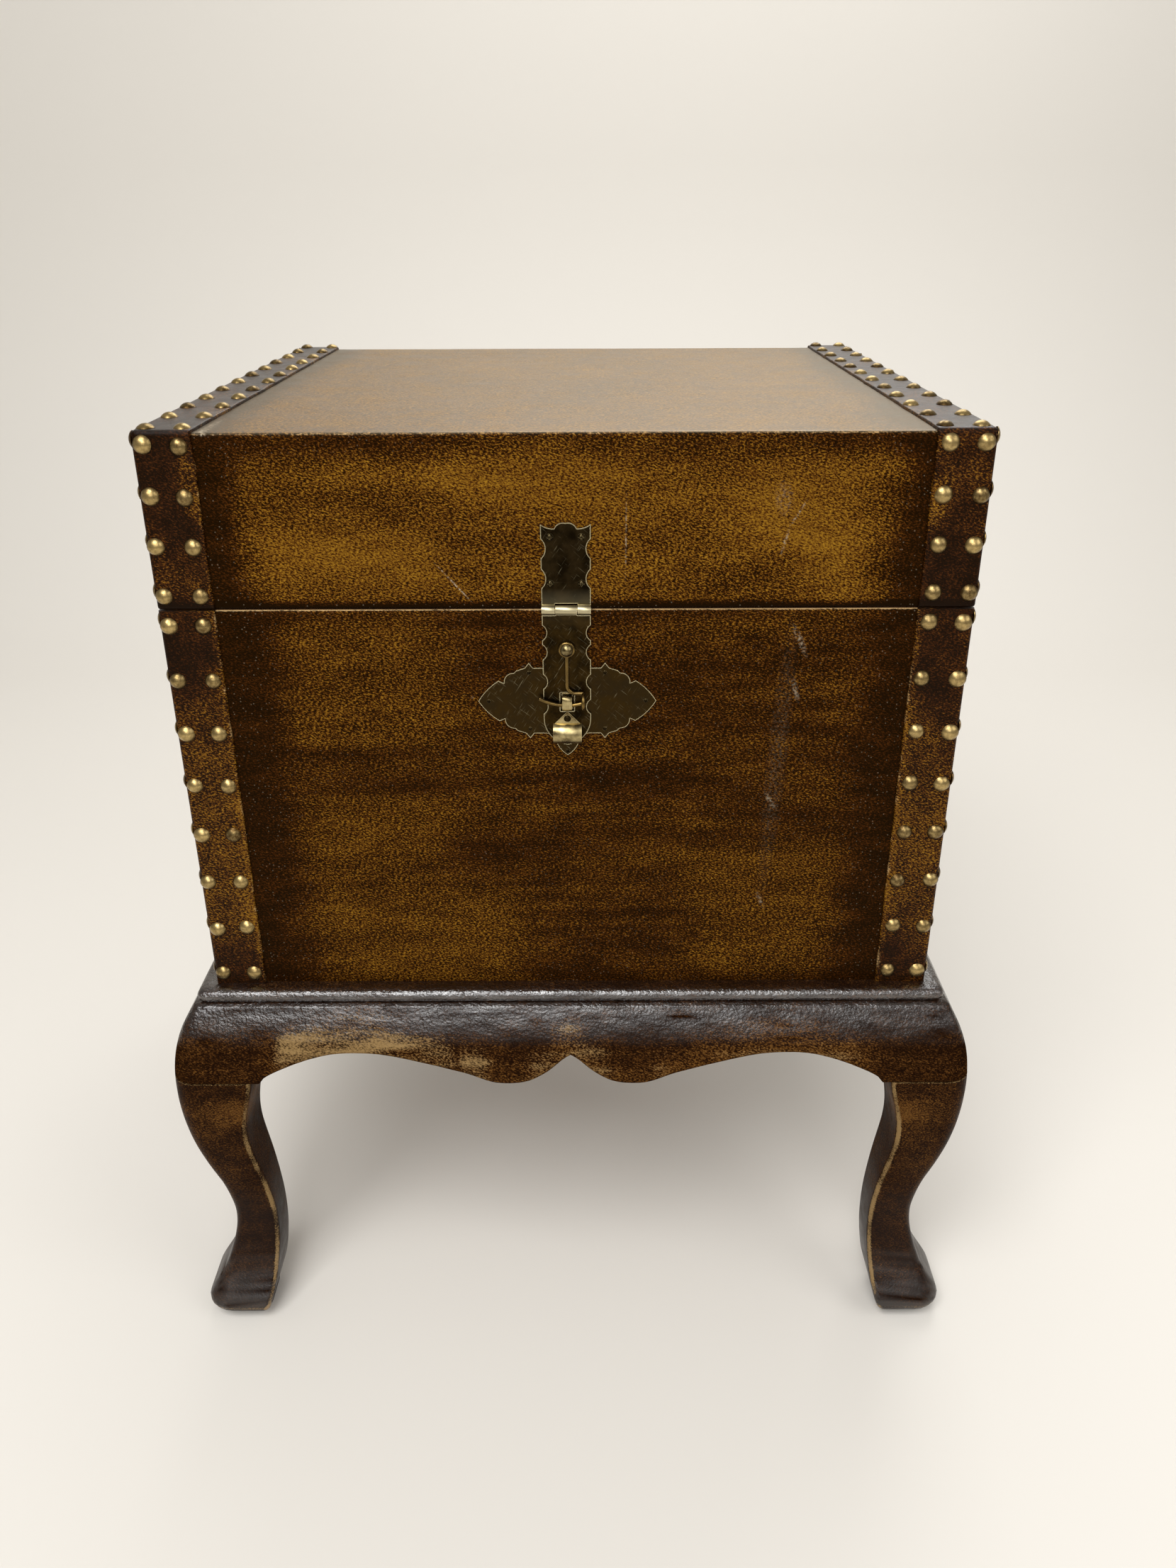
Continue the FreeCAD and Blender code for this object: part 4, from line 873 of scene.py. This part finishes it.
def leg_masks(point, quarter, share):
    """Tone, rub and lacquer of a leg at a share of the way round one of its four edges."""
    z = point[2]
    blotch = cloud(point, (22, 22, 30), 2.9)
    toe = 1 - fade(10 * MM, 60 * MM, z)
    low = 1 - fade(60 * MM, 120 * MM, z)
    worn_band = fade(KNEE_Z - 42 * MM, KNEE_Z - 28 * MM, z)
    worn_band *= 0.26 * fade(KNEE_Z - 8 * MM, KNEE_Z - 20 * MM, z) * (1.0 if quarter == 1 else 0.2)
    tone = 0.1 + 0.08 * blotch + worn_band - 0.07 * low
    # Bare most along the front's inner edge, then round the toe and at the joint
    ridge = (0.0, 0.7, 0.0, 0.3)[quarter] * (1 - fade(0.1, 0.5, abs(share - 0.5)))
    sole = 0.55 * (1 - fade(0, 4 * MM, abs(z - 12 * MM))) if quarter in (0, 1) else 0.0
    joint = 0.55 * fade(KNEE_Z - 2 * MM, KNEE_Z - 0.6 * MM, z)
    rub = max(0.0, joint, (ridge + sole) * (1 + 0.6 * blotch))
    speck = cloud(point, (5, 5, 5), 1.7)
    lacquer = 0.1 * low + toe * fade(8 * MM, 15 * MM, z) * (0.55 + 1.1 * speck)
    return tone, rub, lacquer


def leg_mesh(corner, sign_x, sign_y):
    """Cabriole leg with soft wrapped edges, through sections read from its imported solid."""
    edge = sizes().leg_edge
    far = 0.5
    node = corner + "_leg"
    rings, masks = [], []
    for z in spread(0.4 * MM, KNEE_Z - 2 * MM, 3 * MM) + [KNEE_Z - 1.2 * MM, KNEE_Z - 0.4 * MM]:
        x_out = hit(node, (sign_x * far, sign_y * HALF_D, z), (-sign_x, 0, 0)).x * sign_x
        x_in = hit(node, (0, sign_y * HALF_D, z), (sign_x, 0, 0)).x * sign_x
        y_out = hit(node, (sign_x * HALF_W, sign_y * far, z), (0, -sign_y, 0)).y * sign_y
        y_in = hit(node, (sign_x * HALF_W, 0, z), (0, sign_y, 0)).y * sign_y
        # The outer edge's radius, from how far it lies inside the sharp corner
        slant = Vector((sign_x, sign_y, 0)) * 0.1
        sharp = Vector((sign_x * x_out, sign_y * y_out, z))
        gap = (sharp - hit(node, sharp + slant, -slant)).length
        outer = max(edge, gap / (math.sqrt(2) - 1))
        ends = ((x_out, y_out, outer), (x_in, y_out, edge), (x_in, y_in, edge), (x_out, y_in, edge))
        ring = []
        for quarter, (x, y, radius) in enumerate(ends):
            centre_x = x - radius if x == x_out else x + radius
            centre_y = y - radius if y == y_out else y + radius
            for share in spread(0, 1, 1 / 6):
                turn = (quarter + share) * math.pi / 2
                round_x, round_y = centre_x + radius * math.cos(turn), centre_y + radius * math.sin(turn)
                ring.append((sign_x * round_x, sign_y * round_y, z))
                masks.append(leg_masks(ring[-1], quarter, share))
        rings.append(ring)
    return tube("cabriole_leg_" + corner, rings), dict(zip(STAND_MASKS, zip(*masks)))


class TRUNK_OT_stand(bpy.types.Operator):
    """Wrapped apron and cabriole legs of the stand"""

    bl_idname = "trunk_table.stand"
    bl_label = "Wrapped Stand"

    def execute(self, context):
        skin, leg_skin = stand_leather(), leg_leather()
        mesh, masks = apron_mesh()
        apron = dress(mesh, "trunk", skin, masks, sharp=60.0)
        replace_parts(apron, *["stand_" + side + "_rail" for side in ("front", "rear", "left", "right")])
        for corner, signs in CORNERS.items():
            mesh, masks = leg_mesh(corner, *signs)
            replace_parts(dress(mesh, "trunk", leg_skin, masks, sharp=60.0), corner + "_leg")
        return {"FINISHED"}


# Nails

class NailRows(bpy.types.PropertyGroup):
    """Where the strap nails stand."""

    outer_in: length("Outer column", 5.5, "Distance of the outer nails in from the trunk's edge")
    inner_in: length("Inner column", 25.0, "Distance of the inner nails in from the trunk's edge")
    end_in: length("Row ends", 8.0, "Distance of the end nails in from a strap's ends")
    top_shift: length("Top shift", 1.6, "How far the nails of the lid's top stand further in")
    side_lift: length("Side lift", 2.2, "How far the nails of the sides stand above those of the front")
    body_rows: IntProperty(name="Trunk rows", description="Nails up each trunk strap", default=8, min=2)
    lid_rows: IntProperty(name="Lid rows", description="Nails up each lid strap's front", default=4, min=2)
    top_rows: IntProperty(name="Top rows", description="Nails along each lid strap's top", default=12, min=2)


def nail_places():
    """Foot and direction of every strap nail, for the trunk and for the lid, on the +X side."""
    rows = bpy.context.scene.trunk_table_nails
    body = evenly(rows.body_rows, BODY_Z + rows.end_in, BODY_TOP - rows.end_in)
    lid = evenly(rows.lid_rows, LID_Z + rows.end_in, TOP_Z - rows.end_in)
    top = evenly(rows.top_rows, rows.end_in - HALF_D, HALF_D - rows.end_in)
    trunk_nails, lid_nails = [], []
    for inset in (rows.outer_in, rows.inner_in):
        for heights, group in ((body, trunk_nails), (lid, lid_nails)):
            for face in (-1, 1):
                group += [((HALF_W - inset, face * HALF_D, z), (0, face, 0)) for z in heights]
                group += [((HALF_W, face * (HALF_D - inset), z + rows.side_lift), (1, 0, 0)) for z in heights]
        lid_nails += [((HALF_W - inset - rows.top_shift, y, TOP_Z), (0, 0, 1)) for y in top]
        # On the sides they stand between those of the top, clear of the upright straps' nails
        staggered = [(low + high) / 2 for low, high in zip(top, top[1:])]
        clear = [y for y in staggered if abs(y) < PANEL_Y - sizes().nail_radius]
        lid_nails += [((HALF_W, y, TOP_Z - inset), (1, 0, 0)) for y in clear]
    return trunk_nails, lid_nails


def nail_rings(radius, height):
    """Rings of one dome nail along +Z: a thin skirt, then a dome."""
    ball = (radius ** 2 + height ** 2) / (2 * height)
    reach = math.asin(radius / ball)
    rings = [(radius * 0.97, -0.3 * MM)]
    for turn in evenly(8, reach, 0.06):
        rings.append((ball * math.sin(turn), height - ball + ball * math.cos(turn)))
    around = evenly(25, 0, 2 * math.pi)[:-1]
    return [[Vector((r * math.cos(a), r * math.sin(a), z)) for a in around] for r, z in rings]


def nails_mesh(name, places, chance):
    """All nails of one body in a mesh, each driven a little off its mark, with a shade of its own."""
    s = sizes()
    points, faces, shade = [], [], []
    for foot, facing in places:
        for side in (-1, 1):
            grown = chance.uniform(0.96, 1.03)
            deep = s.side_depth if facing[0] else 0.0
            rings = nail_rings(s.nail_radius * grown, (s.nail_height - deep) * chance.uniform(0.86, 1.0))
            tilt = Matrix.Rotation(math.radians(chance.uniform(0, 5)), 3, Vector((chance.gauss(0, 1), 1, 0)))
            turn = Vector((0, 0, 1)).rotation_difference(Vector(facing)).to_matrix() @ tilt
            stray = Vector([chance.uniform(-s.nail_wander, s.nail_wander) * (1 - abs(n)) for n in facing])
            dull = chance.uniform(0.0, 0.55)
            faces += ring_faces(len(points), len(rings[0]), len(rings))
            for level, ring in enumerate(rings):
                for at in ring:
                    place = turn @ at + Vector(foot) + stray
                    points.append((side * place.x, place.y, place.z))
                    shade.append(dull + 0.5 * (1 - fade(0, 4, level)))
    mesh = bpy.data.meshes.new(name)
    mesh.from_pydata(points, [], faces)
    return mesh, {"shade": shade}


class TRUNK_OT_nails(bpy.types.Operator):
    """Dome nails of the straps"""

    bl_idname = "trunk_table.nails"
    bl_label = "Strap Nails"

    def execute(self, context):
        skin = nail_brass()
        chance = random.Random(11)
        for body, places in zip(("trunk", "lid"), nail_places()):
            mesh, masks = nails_mesh(body + "_dome_nails", places, chance)
            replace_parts(dress(mesh, body, skin, masks), body + "_strap_nails")
        return {"FINISHED"}


# Metalwork and boards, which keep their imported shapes

def finish_nodes(names, material, bevel=0.0):
    """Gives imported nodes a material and, where asked, softened edges."""
    for name in names:
        node = NODES[name]
        node.data.materials.clear()
        node.data.materials.append(material)
        if bevel:
            node.modifiers.new("joined faces", "WELD").merge_threshold = 0.005 * MM
            edge = node.modifiers.new("soft edges", "BEVEL")
            edge.width = bevel
            edge.segments = 2
            edge.angle_limit = math.radians(50)
            edge.harden_normals = True


class TRUNK_OT_hasp(bpy.types.Operator):
    """Hasp, its staple and its locking pin"""

    bl_idname = "trunk_table.hasp"
    bl_label = "Hasp"

    def execute(self, context):
        c, s = colours(), sizes()
        # Stamped brass, blackened and relieved on a wheel: dark clouded faces, rims and knuckle bright with
        # bare brass and painted highlight, and a painted reflection on the plate next to the knuckle
        bronze = metal("blackened hasp brass", c.bronze, c.bronze_light, c.rim, 0.38, 0.9 * MM, painted_reflection=0.07)
        finish_nodes(("hasp_lid_plate",), bronze, s.metal_edge)
        # The swinging strap and the winged plate, left browner by the wheel; the strap's knuckle has the same
        # painted highlight and only a faint painted reflection next to it
        browner = metal("relieved strap brass", c.bronze, c.bronze_brown, c.rim, 0.38, 0.9 * MM, painted_reflection=0.01)
        finish_nodes(("hasp_strap",), browner, s.metal_edge)
        winged = metal("relieved plate brass", c.bronze_light, c.bronze_brown, c.rim, 0.36, 0.8 * MM)
        finish_nodes(("staple_plate",), winged, s.metal_edge)
        # Staple and tab, polished by handling over a brown patina
        brass = metal("rubbed hasp brass", c.wire, c.brass, c.brass, 0.3, 0.4 * MM)
        finish_nodes(("staple", "hasp_pull_tab"), brass, s.metal_edge)
        # Small heads, blackened like the plates and little handled
        black = metal("blackened screws", c.bronze, c.bronze_light, c.brass, 0.42, 0.12 * MM)
        finish_nodes(("hasp_screws", "staple_plate_nails", "tab_rivet"), black)
        # The bent pin, browned all over and hardly rubbed
        browned = metal("browned pin brass", c.wire, c.hinge, c.brass, 0.26, 0.1 * MM)
        finish_nodes(("locking_pin",), browned)
        # Its stud and the hinge's pin, brown in clouds and bright between them
        domed = metal("handled stud brass", c.wire, c.brass, c.brass, 0.28, 0.1 * MM)
        finish_nodes(("hasp_hinge_pin", "pin_stud"), domed)
        return {"FINISHED"}


class TRUNK_OT_hinges(bpy.types.Operator):
    """Rear hinges and hidden screws"""

    bl_idname = "trunk_table.hinges"
    bl_label = "Rear Hinges"

    def execute(self, context):
        c, s = colours(), sizes()
        # Pressed brass leaves gone brown with age
        aged = metal("aged hinge brass", c.bronze_light, c.hinge, c.hinge, 0.38, 0.4 * MM)
        for hinge in ("left_hinge_", "right_hinge_"):
            finish_nodes((hinge + "trunk_leaf", hinge + "lid_leaf"), aged, s.metal_edge)
            finish_nodes((hinge + "pin",), aged)
        finish_nodes(("hinge_trunk_screws", "hinge_lid_screws", "leg_screws", "deck_screws"), aged)
        return {"FINISHED"}


class TRUNK_OT_boards(bpy.types.Operator):
    """Boards under the leather and inside the stand"""

    bl_idname = "trunk_table.boards"
    bl_label = "Boards"

    def execute(self, context):
        wide = board_wood("stained board along x", (0.06, 1.0, 1.0))
        deep = board_wood("stained board along y", (1.0, 0.06, 1.0))
        for part in ("trunk_", "lid_"):
            finish_nodes((part + "front_board", part + "rear_board"), wide)
            finish_nodes((part + "left_board", part + "right_board"), deep)
        finish_nodes(("trunk_bottom_board", "lid_top_board", "stand_deck", "corner_blocks"), wide)
        return {"FINISHED"}


# Stage

class TrunkTableStage(bpy.types.PropertyGroup):
    """Camera and light of the photograph's view."""

    camera: FloatVectorProperty(name="Camera", description="Where the camera stands", subtype="TRANSLATION",
                                unit="LENGTH", size=3, default=(0.0129, -0.8691, 0.7184))
    pitch: FloatProperty(name="Pitch", description="How far the camera looks down", subtype="ANGLE",
                         default=math.radians(25.2988))
    yaw: FloatProperty(name="Yaw", description="Turn of the camera about the vertical", subtype="ANGLE",
                       default=math.radians(0.0979))
    roll: FloatProperty(name="Roll", description="Tilt of the camera about its view", subtype="ANGLE",
                        default=math.radians(-0.2224))
    lens: FloatProperty(name="Lens", description="Focal length in millimetres", default=27.97)
    sensor: FloatProperty(name="Sensor", description="Long side of the sensor in millimetres", default=36.0)
    world: FloatProperty(name="World light", description="Strength of the pale surroundings", default=0.55)


# Area lamps: name, place and width in metres, and power in watts; all aim at the table's middle
LAMP_AIM = Vector((0, 0, 0.35))
LAMPS = (
    ("key", (-0.6, -1.5, 2.2), 1.3, 44.0),
    ("front", (0.0, -2.6, 1.7), 1.5, 24.0),
    ("fill", (1.6, -1.1, 1.5), 1.4, 10.0),
    ("back", (0.3, 1.3, 2.1), 1.6, 25.0),
)


def backdrop():
    """Floor that curves up into a wall behind the table."""
    depth, height, bend, half = 1.9, 2.6, 0.8, 4.0
    line = [(-half, 0.0), (depth - bend, 0.0)]
    for turn in evenly(12, 0, math.pi / 2)[1:]:
        line.append((depth - bend + bend * math.sin(turn), bend - bend * math.cos(turn)))
    line.append((depth, height))
    points = [(x, y, z) for y, z in line for x in (-half, half)]
    faces = [(2 * i, 2 * i + 1, 2 * i + 3, 2 * i + 2) for i in range(len(line) - 1)]
    mesh = bpy.data.meshes.new("floor")
    mesh.from_pydata(points, [], faces)
    mesh.shade_smooth()
    return bpy.data.objects.new("floor", mesh)


class TRUNK_OT_stage(bpy.types.Operator):
    """Floor, light and camera"""

    bl_idname = "trunk_table.stage"
    bl_label = "Stage"

    def execute(self, context):
        scene, view = context.scene, context.scene.trunk_table_stage
        # Seamless paper: even, pale and matt
        paper, _, shader = new_material("seamless paper")
        shader.inputs["Base Color"].default_value = colours().floor
        shader.inputs["Roughness"].default_value = 0.8
        floor = backdrop()
        floor.data.materials.append(paper)
        scene.collection.objects.link(floor)
        for name, place, size, power in LAMPS:
            lamp = bpy.data.lights.new(name, "AREA")
            lamp.size = size
            lamp.energy = power
            stand = bpy.data.objects.new(name, lamp)
            stand.location = place
            stand.rotation_euler = (LAMP_AIM - Vector(place)).to_track_quat("-Z", "Y").to_euler()
            scene.collection.objects.link(stand)
        world = bpy.data.worlds.new("studio")
        world.use_nodes = True
        sky = world.node_tree.nodes["Background"]
        sky.inputs["Color"].default_value = colours().floor
        sky.inputs["Strength"].default_value = view.world
        scene.world = world
        lens = bpy.data.cameras.new("camera")
        lens.sensor_width = view.sensor
        lens.lens = view.lens
        camera = bpy.data.objects.new("camera", lens)
        turn = Matrix.Rotation(view.yaw, 4, "Z") @ Matrix.Rotation(math.pi / 2 - view.pitch, 4, "X")
        camera.matrix_world = Matrix.Translation(view.camera) @ turn @ Matrix.Rotation(view.roll, 4, "Z")
        scene.collection.objects.link(camera)
        scene.camera = camera
        scene.view_settings.view_transform = "Standard"
        return {"FINISHED"}


STEPS = (TRUNK_OT_panels, TRUNK_OT_straps, TRUNK_OT_stand, TRUNK_OT_nails, TRUNK_OT_hasp, TRUNK_OT_hinges,
         TRUNK_OT_boards, TRUNK_OT_stage)


class VIEW3D_PT_trunk_table(bpy.types.Panel):
    """Steps of the trunk table's finish"""

    bl_idname = "VIEW3D_PT_trunk_table"
    bl_label = "Trunk Table"
    bl_space_type = "VIEW_3D"
    bl_region_type = "UI"
    bl_category = "Trunk Table"

    def draw(self, context):
        for step in STEPS:
            self.layout.operator(step.bl_idname)
        for group in GROUPS:
            settings = getattr(context.scene, group)
            for key in settings.__annotations__:
                self.layout.prop(settings, key)


GROUPS = {
    "trunk_table_sizes": TrunkTableSizes,
    "trunk_table_colours": TrunkTableColours,
    "trunk_table_nails": NailRows,
    "trunk_table_stage": TrunkTableStage,
}


def register():
    for made in (*GROUPS.values(), *STEPS, VIEW3D_PT_trunk_table):
        bpy.utils.register_class(made)
    for name, group in GROUPS.items():
        setattr(bpy.types.Scene, name, PointerProperty(type=group))


def unregister():
    for name in GROUPS:
        delattr(bpy.types.Scene, name)
    for made in (VIEW3D_PT_trunk_table, *STEPS, *GROUPS.values()):
        bpy.utils.unregister_class(made)


def main():
    register()
    bpy.ops.trunk_table.panels()
    bpy.ops.trunk_table.straps()
    bpy.ops.trunk_table.stand()
    bpy.ops.trunk_table.nails()
    bpy.ops.trunk_table.hasp()
    bpy.ops.trunk_table.hinges()
    bpy.ops.trunk_table.boards()
    bpy.ops.trunk_table.stage()


if __name__ == "__main__":
    main()
